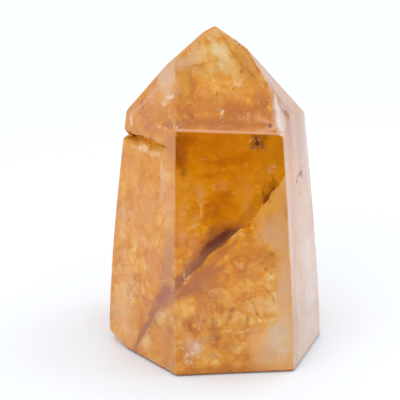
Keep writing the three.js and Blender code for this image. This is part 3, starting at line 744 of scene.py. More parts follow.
# Lines and bands in the stone: their points along the flat and height, half the width at the
# start and at the end, softness of the rim, strength and colour.
strokes = {
    "front": [
        ([(-11.0, 52.6), (-10.7, 50.8), (-10.1, 49.6), (-9.6, 48.5), (-9.2, 47.4), (-8.7, 46.6)], 1.0, 0.35,
          0.9, 0.5, (146, 74, 0)),
        ([(-9.0, 47.2), (-9.0, 46.4), (-9.3, 45.4)], 0.3, 0.16, 0.8, 0.4, (156, 92, 14)),
        ([(-8.6, 54.6), (-8.2, 52.0), (-8.6, 49.6)], 0.6, 0.5, 0.9, 0.3, (160, 84, 0)),
        ([(9.9, 42.0), (9.1, 42.6), (8.6, 44.0)], 0.22, 0.12, 0.7, 0.7, (126, 64, 10)),
        ([(11.6, 44.0), (10.7, 44.7), (10.3, 46.0)], 0.25, 0.12, 0.7, 0.7, (120, 60, 10)),
        ([(8.6, 41.2), (7.6, 41.4), (6.9, 42.0)], 0.2, 0.1, 0.7, 0.5, (140, 74, 10)),
        ([(-5.7, 40.2), (-5.4, 38.8), (-5.6, 37.2)], 0.12, 0.2, 0.7, 0.4, (250, 192, 96)),
        ([(-7.6, 34.9), (-6.6, 35.0), (-5.6, 35.6)], 0.14, 0.2, 0.7, 0.4, (250, 194, 100)),
        ([(-10.2, 37.4), (-9.2, 38.3), (-8.6, 38.2)], 0.14, 0.2, 0.7, 0.5, (248, 186, 100)),
        ([(-5.4, 50.4), (-4.6, 50.0), (-3.9, 49.7)], 0.12, 0.1, 0.7, 0.6, (232, 156, 70)),
        ([(-4.4, 52.6), (-1.0, 51.8), (2.4, 52.2), (5.0, 51.4)], 0.4, 0.3, 0.9, 0.3, (216, 136, 20)),
        ([(-9.8, 43.4), (-8.6, 43.0), (-7.4, 43.6)], 0.18, 0.18, 0.8, 0.5, (172, 102, 20)),
        ([(-7.6, 39.6), (-6.8, 38.4), (-7.0, 37.0)], 0.2, 0.14, 0.8, 0.45, (176, 104, 20)),
        ([(1.8, 46.6), (2.4, 44.6), (2.0, 42.6)], 0.25, 0.2, 0.9, 0.35, (180, 100, 6)),
    ],
    "frontAbove": [
        # The first six strokes are the dark lens over the fracture and its tail: painted shade, where the
        # fracture is seen through the front.
        ([(2.8, 34.1), (0.4, 33.6), (-1.8, 32.4), (-3.4, 30.2), (-4.8, 27.6)], 1.3, 2.4, 0.9, 0.7,
          (152, 82, 20)),
        ([(2.6, 33.7), (0.6, 33.1), (-1.2, 31.9), (-2.9, 30.0), (-4.2, 28.2)], 0.8, 1.7, 0.7, 0.97,
          (108, 42, 0)),
        ([(0.8, 32.9), (-1.2, 31.5), (-2.8, 29.9)], 1.0, 1.5, 0.9, 0.85, (88, 30, 2)),
        ([(-3.6, 28.6), (-5.0, 27.0), (-6.6, 25.4)], 1.4, 1.0, 0.9, 0.85, (118, 58, 16)),
        ([(-5.6, 26.8), (-7.9, 24.7), (-10.2, 22.5), (-12.0, 20.4)], 1.5, 1.3, 0.9, 0.8, (156, 88, 48)),
        ([(-6.2, 25.9), (-7.9, 24.3), (-10.2, 22.0)], 0.3, 0.3, 0.8, 0.6, (128, 72, 44)),
        ([(3.2, 35.8), (4.6, 37.4), (6.2, 39.2), (8.0, 41.0)], 0.9, 1.1, 0.9, 0.4, (170, 98, 14)),
        ([(8.2, 43.4), (8.6, 41.8), (9.2, 40.3)], 0.16, 0.2, 0.7, 0.6, (140, 76, 16)),
        ([(11.2, 43.6), (10.0, 42.0), (9.1, 40.0)], 0.3, 0.35, 0.7, 0.7, (122, 62, 14)),
    ],
    "frontUnder": [
        # The first stroke is painted shade just under the fracture.
        ([(2.4, 31.2), (1.0, 30.0), (-0.6, 28.8), (-2.6, 27.0), (-4.6, 25.2), (-6.4, 23.6)], 0.5, 1.2, 1.0,
          0.5, (176, 92, 22)),
        ([(-4.0, 24.6), (-6.4, 22.8), (-8.8, 20.6)], 1.4, 1.6, 0.9, 0.4, (176, 102, 50)),
        ([(5.0, 18.2), (6.0, 17.5), (6.3, 16.2), (6.9, 14.8), (8.2, 13.0)], 0.16, 0.22, 0.8, 0.55,
          (162, 80, 0)),
        ([(8.0, 20.6), (9.4, 20.0), (10.5, 18.3), (10.9, 16.2)], 0.16, 0.2, 0.8, 0.5, (170, 92, 0)),
        ([(1.0, 26.6), (2.2, 25.4), (2.6, 23.6)], 0.16, 0.16, 0.7, 0.5, (176, 104, 40)),
        ([(4.4, 28.0), (5.8, 27.6), (7.4, 28.2), (9.2, 27.2)], 0.16, 0.16, 0.7, 0.5, (176, 104, 36)),
        ([(5.2, 24.6), (6.6, 24.0), (7.8, 24.8)], 0.16, 0.16, 0.7, 0.5, (176, 104, 36)),
        ([(-2.0, 28.8), (-0.8, 28.2), (0.6, 28.6), (1.6, 27.6)], 0.2, 0.16, 0.8, 0.45, (180, 106, 60)),
        ([(-8.6, 19.4), (-6.4, 20.8), (-4.2, 22.8), (-2.0, 25.0)], 1.1, 0.7, 0.9, 0.35, (178, 98, 40)),
        ([(-4.4, 18.6), (-3.2, 17.0), (-3.4, 15.2)], 0.2, 0.2, 0.8, 0.45, (178, 104, 48)),
        ([(-2.2, 15.2), (-0.8, 16.4), (0.8, 15.6), (1.9, 16.2)], 0.2, 0.16, 0.7, 0.55, (164, 92, 32)),
        ([(2.8, 18.6), (3.6, 17.0), (3.2, 15.6), (4.2, 14.2)], 0.16, 0.2, 0.7, 0.5, (166, 96, 30)),
        ([(-4.0, 19.6), (-2.6, 20.4), (-1.0, 20.2)], 0.18, 0.24, 0.7, 0.5, (250, 194, 112)),
        ([(-6.8, 14.4), (-6.0, 12.0), (-5.2, 10.2)], 0.2, 0.26, 0.8, 0.5, (242, 184, 120)),
        ([(-0.9, 10.7), (0.4, 10.2), (1.6, 10.6)], 0.22, 0.2, 0.7, 0.6, (252, 198, 106)),
        ([(1.9, 9.9), (3.2, 9.6), (4.4, 10.2)], 0.2, 0.22, 0.7, 0.6, (252, 194, 104)),
        ([(-10.6, 11.4), (-9.0, 10.4), (-8.2, 8.8)], 0.25, 0.2, 0.8, 0.45, (244, 190, 132)),
        ([(-4.4, 7.4), (-5.2, 6.2), (-6.0, 5.6)], 0.16, 0.16, 0.7, 0.5, (248, 206, 160)),
    ],
    "left": [
        # The first stroke is the iron stain round the crevice, brightened as painted light that comes through
        # the stone.
        ([(-10.4, 51.5), (-8.0, 51.2), (-5.0, 50.7), (-3.0, 50.4), (-0.5, 50.6), (2.4, 51.2), (5.4, 51.9)],
          1.2, 0.8, 0.6, 1.0, (220, 146, 0)),
        ([(-8.5, 52.3), (-5.0, 52.4), (-2.0, 52.4), (1.0, 52.2), (3.6, 51.8)], 0.35, 0.3, 0.8, 0.7,
          (196, 122, 10)),
        ([(10.4, 18.6), (8.4, 17.8), (6.6, 15.8)], 2.6, 1.6, 0.9, 0.6, (184, 112, 86)),
        ([(9.8, 13.0), (9.6, 8.0), (9.2, 2.0)], 1.8, 2.4, 0.9, 0.35, (212, 142, 72)),
        ([(10.2, 19.8), (8.5, 19.2), (6.4, 17.2), (4.6, 13.9), (2.8, 10.5), (0.4, 7.1), (-1.8, 4.0),
          (-2.8, 0.4)], 2.3, 0.6, 1.0, 0.6, (188, 116, 82)),
        ([(8.2, 19.6), (6.2, 17.4), (4.4, 13.9), (2.6, 10.5), (0.2, 7.1), (-2.0, 4.0), (-2.9, 0.4)], 1.0,
          0.35, 1.0, 0.5, (164, 94, 64)),
        ([(0.8, 30.6), (0.3, 27.0), (0.1, 24.0), (0.6, 21.2), (1.4, 19.2), (2.6, 17.4)], 0.14, 0.2, 0.7,
          0.5, (194, 122, 76)),
        ([(4.4, 28.2), (5.4, 25.0), (5.3, 21.8)], 0.2, 0.3, 0.8, 0.4, (200, 130, 96)),
        ([(1.4, 27.9), (3.0, 28.5), (4.4, 28.0)], 0.25, 0.2, 0.8, 0.5, (246, 186, 118)),
        ([(-1.8, 21.4), (-2.8, 18.6), (-4.2, 16.2), (-6.2, 13.8)], 0.16, 0.24, 0.7, 0.55, (188, 118, 72)),
        ([(0.6, 14.4), (-0.6, 12.0), (-0.8, 9.4)], 0.2, 0.2, 0.8, 0.35, (196, 122, 84)),
        ([(3.4, 34.4), (2.2, 32.8), (1.6, 30.6)], 0.2, 0.16, 0.8, 0.45, (244, 186, 130)),
        ([(4.6, 12.2), (5.6, 13.4), (6.8, 13.0), (7.6, 13.8)], 0.25, 0.2, 0.7, 0.5, (250, 204, 150)),
        ([(-6.4, 51.8), (-5.4, 51.7), (-4.6, 51.8)], 0.3, 0.3, 0.8, 0.8, (128, 78, 8)),
        ([(-1.6, 51.6), (-0.8, 51.0), (-0.6, 50.6)], 0.35, 0.25, 0.8, 0.8, (138, 78, 10)),
        ([(-4.0, 49.8), (-3.0, 50.2), (-2.0, 49.8)], 0.5, 0.6, 0.8, 1.0, (255, 214, 164)),
        ([(-6.2, 49.4), (-4.8, 49.2), (-3.4, 48.9)], 0.5, 0.5, 0.9, 0.6, (244, 192, 134)),
        ([(0.2, 48.9), (1.8, 49.4), (3.4, 50.1)], 0.6, 0.5, 0.9, 0.7, (246, 198, 144)),
    ],
    "tipFront": [
        ([(-11.1, 66.0), (-11.3, 63.6), (-11.6, 61.0)], 0.7, 0.5, 0.9, 0.6, (238, 186, 146)),
        ([(-8.4, 68.0), (-6.9, 68.3), (-4.7, 68.0), (-3.1, 68.5)], 0.16, 0.24, 0.9, 0.45, (178, 108, 4)),
        ([(-7.7, 67.5), (-6.2, 67.3), (-4.4, 67.6)], 0.16, 0.16, 0.9, 0.4, (186, 118, 30)),
        ([(-7.0, 66.9), (-6.5, 65.6), (-6.6, 64.4), (-7.1, 63.4), (-7.9, 62.5), (-8.8, 61.4), (-9.8, 60.4)],
          0.35, 0.45, 0.9, 0.45, (186, 116, 0)),
        ([(-9.7, 62.4), (-10.2, 60.8), (-10.6, 59.6)], 0.25, 0.3, 0.9, 0.5, (170, 102, 40)),
        ([(1.7, 72.2), (2.5, 70.8), (3.4, 69.5), (4.3, 68.2), (5.2, 67.2), (6.1, 66.5), (7.0, 65.8)], 0.3,
          0.5, 0.9, 0.4, (192, 122, 0)),
        ([(0.2, 69.8), (0.8, 68.4), (1.4, 67.0), (1.9, 65.8)], 0.16, 0.16, 0.8, 0.55, (186, 114, 28)),
        ([(2.1, 65.7), (2.4, 64.8), (3.2, 64.3), (4.1, 64.7), (4.5, 65.5)], 0.3, 0.35, 0.9, 0.5,
          (250, 204, 132)),
        ([(-1.5, 72.4), (-0.4, 71.2), (0.8, 69.7), (1.8, 68.2), (2.6, 66.6), (3.2, 65.4)], 0.8, 0.8, 0.9,
          0.35, (250, 198, 108)),
        ([(-1.9, 73.0), (-1.0, 71.8), (0.0, 70.6), (0.6, 69.4)], 0.4, 0.45, 0.9, 0.65, (255, 214, 148)),
        ([(-0.2, 72.0), (0.9, 70.6), (1.6, 69.2), (2.2, 67.8)], 0.4, 0.4, 0.9, 0.55, (252, 208, 136)),
        ([(0.4, 68.6), (1.4, 67.4), (2.2, 66.0)], 0.3, 0.45, 0.9, 0.5, (252, 202, 120)),
        ([(2.4, 67.4), (3.2, 66.4), (3.8, 65.2)], 0.3, 0.4, 0.9, 0.45, (250, 198, 112)),
        ([(-0.9, 71.6), (0.3, 70.4), (1.4, 69.0)], 0.3, 0.3, 0.9, 0.55, (255, 224, 168)),
        ([(-2.9, 71.4), (-3.1, 70.0), (-2.8, 68.8)], 0.16, 0.16, 0.8, 0.5, (250, 212, 152)),
        ([(-7.0, 70.4), (-6.0, 70.9), (-5.0, 70.6), (-4.4, 69.6)], 0.2, 0.2, 0.8, 0.45, (252, 214, 158)),
        ([(-9.4, 58.2), (-8.2, 57.8), (-7.0, 58.2)], 0.35, 0.3, 0.9, 0.5, (172, 102, 44)),
        ([(-4.6, 61.8), (-3.0, 61.4), (-1.2, 61.8)], 0.2, 0.2, 0.9, 0.4, (190, 112, 44)),
        ([(5.2, 62.6), (6.4, 61.8), (7.8, 62.2)], 0.2, 0.2, 0.9, 0.4, (186, 112, 44)),
        ([(4.0, 72.3), (5.2, 70.6), (6.6, 68.6), (8.0, 66.4)], 0.25, 0.3, 0.9, 0.4, (244, 190, 132)),
    ],
    "tipLeft": [
        ([(-7.2, 57.2), (-5.6, 59.2), (-4.0, 61.0), (-2.4, 62.8), (-0.8, 64.6), (1.0, 67.0)], 0.3, 0.5, 0.9,
          0.5, (240, 200, 174)),
        ([(-6.4, 59.6), (-5.4, 60.4), (-4.6, 60.2)], 0.25, 0.2, 0.8, 0.5, (176, 102, 80)),
        ([(3.2, 59.6), (4.2, 58.6), (5.6, 57.8), (6.8, 56.4)], 0.3, 0.25, 0.8, 0.5, (246, 200, 156)),
        ([(0.6, 58.2), (1.8, 57.0), (1.6, 55.8)], 0.2, 0.2, 0.8, 0.4, (196, 124, 84)),
    ],
    "shoulder": [
        # Painted highlight: bright lines of light on the shoulder facet, with darker lines between them.
        ([(6.6, 61.9), (6.9, 60.6), (6.9, 59.5), (6.6, 57.6), (5.9, 56.0)], 0.2, 0.55, 0.7, 1.0,
          (255, 246, 238)),
        ([(6.3, 60.7), (6.0, 58.5), (5.6, 56.2)], 0.1, 0.35, 0.7, 0.9, (255, 238, 220)),
        ([(7.4, 60.6), (7.5, 59.0), (7.2, 57.4)], 0.08, 0.16, 0.8, 0.6, (255, 240, 226)),
        ([(6.5, 59.8), (6.3, 58.2), (5.9, 56.8)], 0.07, 0.12, 0.8, 0.55, (206, 164, 130)),
        ([(7.1, 60.2), (7.1, 58.8), (6.8, 57.4)], 0.07, 0.1, 0.8, 0.55, (210, 166, 136)),
    ],
    "tipRight": [
        # Painted shadow beside the shoulder facet.
        ([(-5.2, 63.8), (-6.1, 62.2), (-7.0, 60.9), (-7.8, 59.6), (-8.4, 58.4)], 0.7, 1.2, 0.9, 0.7,
          (196, 134, 108)),
    ],
    "right": [
        ([(-6.2, 46.0), (-6.9, 39.0), (-7.8, 32.0), (-8.6, 25.0)], 1.0, 1.2, 0.9, 0.45, (222, 174, 144)),
        ([(0.6, 42.8), (1.4, 42.0), (1.2, 41.2)], 0.2, 0.16, 0.7, 0.6, (146, 90, 64)),
        ([(-2.8, 42.3), (-2.2, 41.8)], 0.25, 0.2, 0.7, 0.6, (156, 100, 74)),
    ],
}


# Bright specks, as soft places: along, height, half across, half up and strength.
sparkles = {
    "front": [
        (-8.2, 4.9, 2.0, 2.6, 0.75), (-7.2, 7.6, 1.6, 1.6, 0.45), (-3.6, 5.0, 2.2, 0.7, 0.5),
        (-8.9, 23.6, 1.1, 1.8, 0.75), (-11.2, 20.8, 0.9, 0.9, 0.9), (2.6, 14.0, 1.6, 1.4, 0.35),
        (11.8, 5.8, 2.2, 2.4, 0.4), (-3.8, 8.8, 1.2, 0.7, 0.3), (-10.9, 56.2, 0.8, 0.5, 1.0),
        (10.2, 47.3, 1.1, 0.9, 0.5),
    ],
    "left": [
        (9.9, 19.6, 0.8, 1.2, 0.9), (6.2, 12.6, 2.0, 1.4, 0.45), (-3.0, 50.1, 2.2, 0.8, 0.6),
        (2.0, 49.6, 2.4, 0.6, 0.5), (-4.4, 15.4, 1.2, 1.2, 0.4), (5.6, 55.4, 2.4, 1.6, 0.35),
    ],
    "tipLeft": [
        (1.9, 61.8, 1.4, 1.4, 0.7), (-7.8, 55.4, 0.9, 1.8, 0.5), (6.2, 57.0, 1.8, 2.2, 0.4),
        (1.0, 60.4, 1.0, 0.9, 0.7),
    ],
    "tipFront": [
        (-1.0, 58.9, 0.6, 1.6, 0.8), (2.4, 58.4, 6.0, 1.0, 0.3), (0.6, 70.0, 1.6, 2.6, 0.5),
        (3.2, 72.8, 1.4, 0.7, 0.7), (3.0, 64.8, 2.0, 1.0, 0.4), (-5.6, 71.0, 1.6, 0.8, 0.5),
        (-10.9, 56.8, 0.7, 0.6, 1.0),
    ],
    "shoulder": [(6.4, 57.8, 0.7, 2.4, 0.6)],
    "right": [(8.0, 4.0, 3.0, 4.0, 0.2)],
}


# Soft patches on the flats: place along the flat and height, size across and up, turn in
# degrees, and how much paler (or, below nothing, deeper) the quartz is there. "frontUnder" is
# the front under the fracture.
patches = {
    "front": [
        (-9.5, 53.0, 3.5, 2.5, 0, -0.06), (-8.3, 45.0, 2.4, 3.2, 0, 0.1), (4.4, 39.6, 2.4, 4.4, 8, 0.14),
        (-0.6, 44.4, 2.4, 1.8, -10, 0.1), (-5.4, 41.0, 1.3, 3.0, 0, 0.12), (1.0, 34.8, 3.2, 1.9, 15, 0.1),
        (-7.4, 34.0, 3.8, 3.4, 0, 0.14), (11.8, 46.8, 2.0, 2.8, 0, 0.08), (3.6, 51.0, 2.4, 2.4, 0, 0.06),
        (-9.6, 39.0, 1.8, 5.0, 0, 0.12), (-6.0, 27.5, 3.0, 2.6, 40, 0.16), (12.6, 50.5, 1.4, 4.0, 0, -0.05),
    ],
    "frontUnder": [
        (6.4, 26.8, 4.8, 2.4, -6, -0.17), (-7.8, 17.2, 1.7, 2.6, 5, 0.14), (-6.9, 7.4, 2.6, 2.6, 20, 0.2),
        (10.8, 8.4, 4.6, 5.4, 15, 0.3), (-1.0, 1.0, 7.5, 1.5, 0, -0.2), (-3.0, 22.5, 5.0, 1.8, 32, -0.02),
        (4.4, 17.6, 3.4, 2.6, 0, 0.12), (8.2, 15.6, 2.6, 3.0, 0, 0.18), (9.6, 33.6, 3.0, 4.8, -30, 0.14),
        (-4.4, 10.4, 3.0, 3.2, 0, -0.12), (2.2, 4.8, 4.2, 2.6, 0, 0.04), (4.0, 22.0, 5.0, 1.8, 0, 0.08),
        (9.0, 22.6, 2.2, 2.4, 0, 0.1),
    ],
    "left": [
        (6.4, 44.0, 1.5, 8.0, 3, 0.12), (7.0, 31.0, 1.5, 6.0, 0, 0.06), (7.6, 24.0, 1.8, 3.2, 0, -0.1),
        (-6.2, 22.0, 2.4, 5.0, 0, 0.04), (-8.0, 7.0, 4.6, 6.0, 0, 0.12), (6.0, 4.0, 5.0, 4.0, 0, 0.12),
        (4.6, 24.4, 2.6, 3.0, 0, -0.08), (-6.4, 11.0, 3.4, 4.6, 0, 0.05), (3.2, 4.6, 2.4, 2.2, 0, 0.02),
        (-2.5, 50.0, 5.0, 1.6, 0, -0.1), (9.2, 10.0, 2.0, 5.0, 0, -0.1), (4.8, 17.6, 2.2, 3.0, 20, -0.12),
        (-3.0, 42.0, 3.4, 4.0, 0, -0.03),
    ],
    "right": [
        (-7.2, 50.0, 2.2, 9.0, 0, -0.16), (-2.0, 53.0, 8.0, 6.0, 0, -0.12), (0.0, 3.0, 12.0, 6.0, 0, 0.08),
        (-0.5, 40.0, 1.2, 12.0, 0, -0.03), (2.0, 18.0, 4.0, 14.0, 0, 0.11), (-6.4, 6.0, 3.4, 6.0, 0, -0.03),
    ],
    "tipFront": [
        (0.4, 70.4, 1.6, 3.6, 38, 0.22), (-4.2, 70.4, 1.6, 2.0, 0, 0.14), (1.6, 64.8, 1.6, 1.6, 0, 0.14),
        (-5.0, 67.0, 2.0, 1.6, 0, 0.1), (-7.4, 65.0, 1.2, 2.6, 0, -0.14), (-3.2, 64.8, 1.6, 1.6, 0, 0.1),
        (5.2, 68.2, 1.6, 3.4, 30, 0.02), (3.6, 62.6, 2.4, 2.0, 0, 0.03), (-4.4, 59.6, 4.0, 2.4, 0, -0.12),
        (8.2, 60.2, 2.0, 2.6, 30, -0.12), (2.0, 59.0, 4.2, 1.8, 0, -0.12),
        (-0.5, 56.4, 12.0, 1.2, -3, -0.14), (-0.4, 74.0, 3.6, 2.4, 0, 0.26),
        (-1.0, 69.5, 6.0, 3.4, 0, 0.28),
    ],
    "tipLeft": [
        (-2.4, 65.4, 1.8, 3.6, 36, 0.14), (1.6, 61.8, 1.8, 1.4, 0, 0.12), (2.6, 68.0, 3.0, 4.0, 0, 0.16),
        (-8.2, 55.2, 1.0, 1.8, 0, 0.16), (-4.6, 59.0, 2.2, 1.8, 0, 0.04), (0.8, 57.0, 2.8, 1.6, 0, -0.08),
        (-5.6, 53.6, 3.4, 1.4, 0, -0.06),
    ],
    "back": [
        (4.0, 40.0, 4.0, 7.0, 20, 0.14), (-6.0, 30.0, 3.0, 8.0, -15, -0.1), (7.0, 16.0, 4.0, 5.0, 0, 0.16),
        (-4.0, 10.0, 4.0, 3.0, 10, 0.18), (0.0, 50.0, 5.0, 3.0, 0, -0.12),
    ],
    "backLeft": [
        (4.0, 36.0, 2.0, 7.0, 10, 0.12), (-5.0, 24.0, 3.0, 5.0, -10, -0.1), (2.0, 9.0, 4.0, 3.0, 0, 0.12),
        (11.0, 50.5, 3.0, 1.4, 0, -0.14),
    ],
    "backRight": [
        (0.0, 44.0, 3.0, 6.0, 0, 0.08), (-3.0, 20.0, 3.0, 8.0, 0, 0.06), (5.0, 8.0, 3.0, 4.0, 0, -0.12),
    ],
    "tipBack": [(-3.0, 62.0, 3.0, 3.0, 20, 0.14), (4.0, 59.0, 3.0, 2.0, 0, -0.1)],
    "tipBackLeft": [(0.0, 62.0, 2.0, 4.0, 20, 0.12)],
    "tipBackRight": [(1.0, 61.0, 2.5, 3.0, 0, 0.1)],
}

# How pale the quartz is on each flat before its patches: 0 is deep amber, 1 is milky white.
# The shoulder's near white is painted highlight: the light that its small facet catches.
flatTone = {
    "left": 0.62, "front": 0.235, "right": 0.88, "backRight": 0.76, "back": 0.46, "backLeft": 0.60,
    "tipLeft": 0.54, "tipFront": 0.50, "tipRight": 0.80, "tipBackRight": 0.74, "tipBack": 0.54,
    "tipBackLeft": 0.58, "shoulder": 0.98, "foot": 0.60,
}

# How golden the quartz is: 0 is rosy, 1 is iron yellow.
flatGold = {
    "left": 0.72, "front": 1.4, "right": -0.5, "backRight": 0.1, "back": 0.8, "backLeft": 0.5,
    "tipLeft": 0.62, "tipFront": 0.85, "tipRight": -0.5, "tipBackRight": 0.1, "tipBack": 0.7,
    "tipBackLeft": 0.5, "shoulder": 0.0, "foot": 0.6,
}

# How crumbly it looks: 0 is even, 1 is all lumps and crumbs.
flatCrumble = {
    "left": 0.5, "front": 0.25, "right": 0.03, "backRight": 0.35, "back": 0.6, "backLeft": 0.6,
    "tipLeft": 0.35, "tipFront": 0.8, "tipRight": 0.03, "tipBackRight": 0.35, "tipBack": 0.6,
    "tipBackLeft": 0.35, "shoulder": 0.35, "foot": 0.35,
}

# How these change over the front. Over the fracture stands clear amber, cloudier at the right,
# low down and at the left under its top. Under it crumbly golden quartz ends at the calm line:
# each pair is a height and a place along the flat.
frontTone = {
    "rightSpan": (2.0, 9.0),        # mm along the flat
    "right": 0.05,
    "lowSpan": (16.0, 3.0),         # mm above the fracture
    "low": 0.06,
    "leftSpan": (3.0, -8.0),        # mm along the flat, and heights at which this starts
    "topSpan": (52, 44),
    "left": 0.07,
    "lowLeftCrumble": 0.7,
    "under": 0.52,                  # the tone under the fracture, and what the right adds
    "underRightSpan": (6.0, 13.0),
    "underRight": 0.16,
    "calmLine": [(0, 4.6), (2, 5.2), (8, 6.6), (12.5, 10.8), (24, 11.4), (28, 10.6), (34, 6.6), (46, 3.0)],
    "calmWander": (0.9, 3.0),       # mm that the line wanders, and over what length
    "calmSpan": (0.8, 1.2),         # mm before and after it
    "calmCrumble": 0.92,
    "underGold": 1.5,
    "calmGold": 0.9,
}

# And over the other flats.
otherTone = {
    "leftLowSpan": (36, 14),        # the left flat is more crumbly low down,
    "leftLowCrumble": 0.4,
    "leftTopSpan": (51.4, 52.2),    # and above the crevice it looks as the tip does
    "tipGoldSpan": (57.5, 63.0),    # the tip's front is more golden high up
    "tipGold": 0.3,
    "cloudyFlats": ("back", "backLeft", "tipBack"),
    "cloudyCrumble": (0.7, 9.0),
    "cloudyLimits": (0.1, 1.0),
}

# How the rims of all these places wander and break up.
rims = {
    "softness": 0.9,                # the usual one
    "outside": 0.4,                 # how far a soft rim reaches out past the place itself
    "patchWander": (0.8, 2.6),      # mm, and over what length
    "markWander": [(0.5, 2.2), (0.25, 0.9), (0.14, 0.4)],
    "thinLine": 0.5,                # half a width in mm under which a line breaks up
    "brokenShare": 0.35,
    "brokenSize": 1.3,
    "brokenSpan": (-0.35, 0.15),
    "fractureSpan": (-0.12, 0.12),  # mm, where marks over and under the fracture meet
    "hollowSpan": (0.1, 0.5),       # mm below the flat at which a hollow's colour comes in,
    "deepSpan": (0.9, 1.6),         # at which it turns to that of its depth,
    "pitSpan": (0.04, 0.25),        # and at which a small pit is dark
    "pitCluster": (3.2, 2.6),       # mm from the middle of a cluster of pits
}


def insideSpot(along, height, spot):  # where a place lies in a turned oval, with 1 as its rim
    a, z, across, up, turn = spot[:5]
    c, s = math.cos(math.radians(turn)), math.sin(math.radians(turn))
    return ((along - a) * c + (height - z) * s) / across, ((height - z) * c - (along - a) * s) / up


def besideStroke(along, height, line):  # distance to a line and how far along it, 0 to 1
    spots = np.array(line)
    best, where = np.full(len(along), 1e9), np.zeros(len(along))
    here = np.stack([along, height], axis=1)
    for k, (start, end) in enumerate(zip(spots[:-1], spots[1:])):
        span = end - start
        t = np.clip(((here - start) @ span) / (span @ span), 0, 1)
        far = np.linalg.norm(here - start - t[:, None] * span, axis=1)
        closer = far < best
        best[closer], where[closer] = far[closer], ((k + t) / (len(spots) - 1))[closer]
    return best, where


def softRim(reach, soft):  # 1 in the middle, 0 outside the rim
    return 1 - smoothStep(reach * reach, (1 - soft) ** 2, (1 + rims["outside"] * soft) ** 2)


def softPatches(points, name, flatName):
    wander, size = rims["patchWander"]
    along = points @ sideways(flatName) + wander * noiseField(points, size, "patchAcross")
    height = points[:, 2] + wander * noiseField(points, size, "patchUp")
    total = np.zeros(len(points))
    for patch in patches.get(name, []):
        u, v = insideSpot(along, height, patch)
        total += patch[5] * np.exp(-(u * u + v * v))
    return total


def markLayers(points, name, flatName):  # how strongly each mark and stroke shows, and its colour
    along, height = points @ sideways(flatName), points[:, 2]
    for amount, size in rims["markWander"]:
        along = along + amount * noiseField(points, size, "markAcross")
        height = height + amount * noiseField(points, size, "markUp")
    broken = smoothStep(noiseField(points, rims["brokenSize"], "brokenLines"), *rims["brokenSpan"])
    broken = rims["brokenShare"] + (1 - rims["brokenShare"]) * broken
    layers = []
    for mark in marks[name]:
        strength, shade, soft = (*mark[5:], rims["softness"])[:3]
        reach = np.hypot(*insideSpot(along, height, mark))
        layers.append((strength * softRim(reach, soft), shade))
    for line, startWidth, endWidth, soft, strength, shade in strokes.get(name, []):
        far, where = besideStroke(along, height, line)
        reach = far / (startWidth + (endWidth - startWidth) * where)
        whole = broken if startWidth < rims["thinLine"] else 1.0
        layers.append((strength * whole * softRim(reach, soft), shade))
    return layers


def paintMarks(points, owner, gap):  # the marks and strokes, laid over each other in order
    paint, cover = np.zeros((len(points), 3)), np.zeros(len(points))
    above = smoothStep(gap, *rims["fractureSpan"])
    for name in marks:
        flatName = "front" if name.startswith("front") else name
        mine = np.flatnonzero(owner == flatNames.index(flatName))
        allowed = {"frontAbove": above[mine], "frontUnder": 1 - above[mine]}.get(name, 1.0)
        for mask, shade in markLayers(points[mine], name, flatName):
            mask = mask * allowed
            light = np.array(colour(*shade)[:3])
            paint[mine] = paint[mine] * (1 - mask[:, None]) + light * mask[:, None]
            cover[mine] = cover[mine] * (1 - mask) + mask
    return paint / np.maximum(cover, 1e-6)[:, None], cover


def sparkleField(points, owner):
    sparkle = np.zeros(len(points))
    for name, spots in sparkles.items():
        mine = np.flatnonzero(owner == flatNames.index(name))
        along, height = points[mine] @ sideways(name), points[mine, 2]
        for a, z, across, up, strength in spots:
            far = ((along - a) / across) ** 2 + ((height - z) / up) ** 2
            sparkle[mine] = np.maximum(sparkle[mine], strength * np.exp(-far))
    return sparkle


def nearPits(points):  # 1 round the two clusters of small pits
    places = [onFlat(name, along, height) for name, along, height, _ in pits]
    far = np.min([np.linalg.norm(points - place, axis=1) for place in places], axis=0)
    return smoothStep(far, *rims["pitCluster"])


def frontFields(points, gap, tone, crumble, gold):  # tone, tone under the fracture, crumble and gold
    along, height = points @ sideways("front"), points[:, 2]
    low = smoothStep(gap, *frontTone["lowSpan"])
    leftward = smoothStep(along, *frontTone["leftSpan"])
    tone = tone + frontTone["right"] * smoothStep(along, *frontTone["rightSpan"]) + frontTone["low"] * low
    tone = tone + frontTone["left"] * leftward * smoothStep(height, *frontTone["topSpan"])
    tone = tone + softPatches(points, "front", "front")
    wander, size = frontTone["calmWander"]
    rim = np.interp(height, *zip(*frontTone["calmLine"])) + wander * noiseField(points, size, "calmRim")
    before, after = frontTone["calmSpan"]
    calm = smoothStep(along, rim - before, rim + after)
    under = frontTone["under"] + frontTone["underRight"] * smoothStep(along, *frontTone["underRightSpan"])
    under = under + softPatches(points, "frontUnder", "front")
    crumble = np.where(gap > 0, crumble + frontTone["lowLeftCrumble"] * low * leftward,
                       1.0 - frontTone["calmCrumble"] * calm)
    gold = np.where(gap > 0, gold, frontTone["underGold"] - frontTone["calmGold"] * calm)
    return tone, under, crumble, gold


def otherFields(points, name, tone, crumble, gold):  # the same for any other flat
    height = points[:, 2]
    tone = tone + softPatches(points, name, name)
    if name == "left":
        crumble = crumble + otherTone["leftLowCrumble"] * smoothStep(height, *otherTone["leftLowSpan"])
        top = smoothStep(height, *otherTone["leftTopSpan"])
        tone = tone + (flatTone["tipLeft"] - flatTone["left"]) * top
        gold = gold + (flatGold["tipLeft"] - flatGold["left"]) * top
    if name == "tipFront":
        gold = gold + otherTone["tipGold"] * smoothStep(height, *otherTone["tipGoldSpan"])
    if name in otherTone["cloudyFlats"]:
        change, size = otherTone["cloudyCrumble"]
        low, high = otherTone["cloudyLimits"]
        crumble = np.clip(crumble + change * noiseField(points, size, "cloudyBack"), low, high)
    return tone, tone, crumble, gold


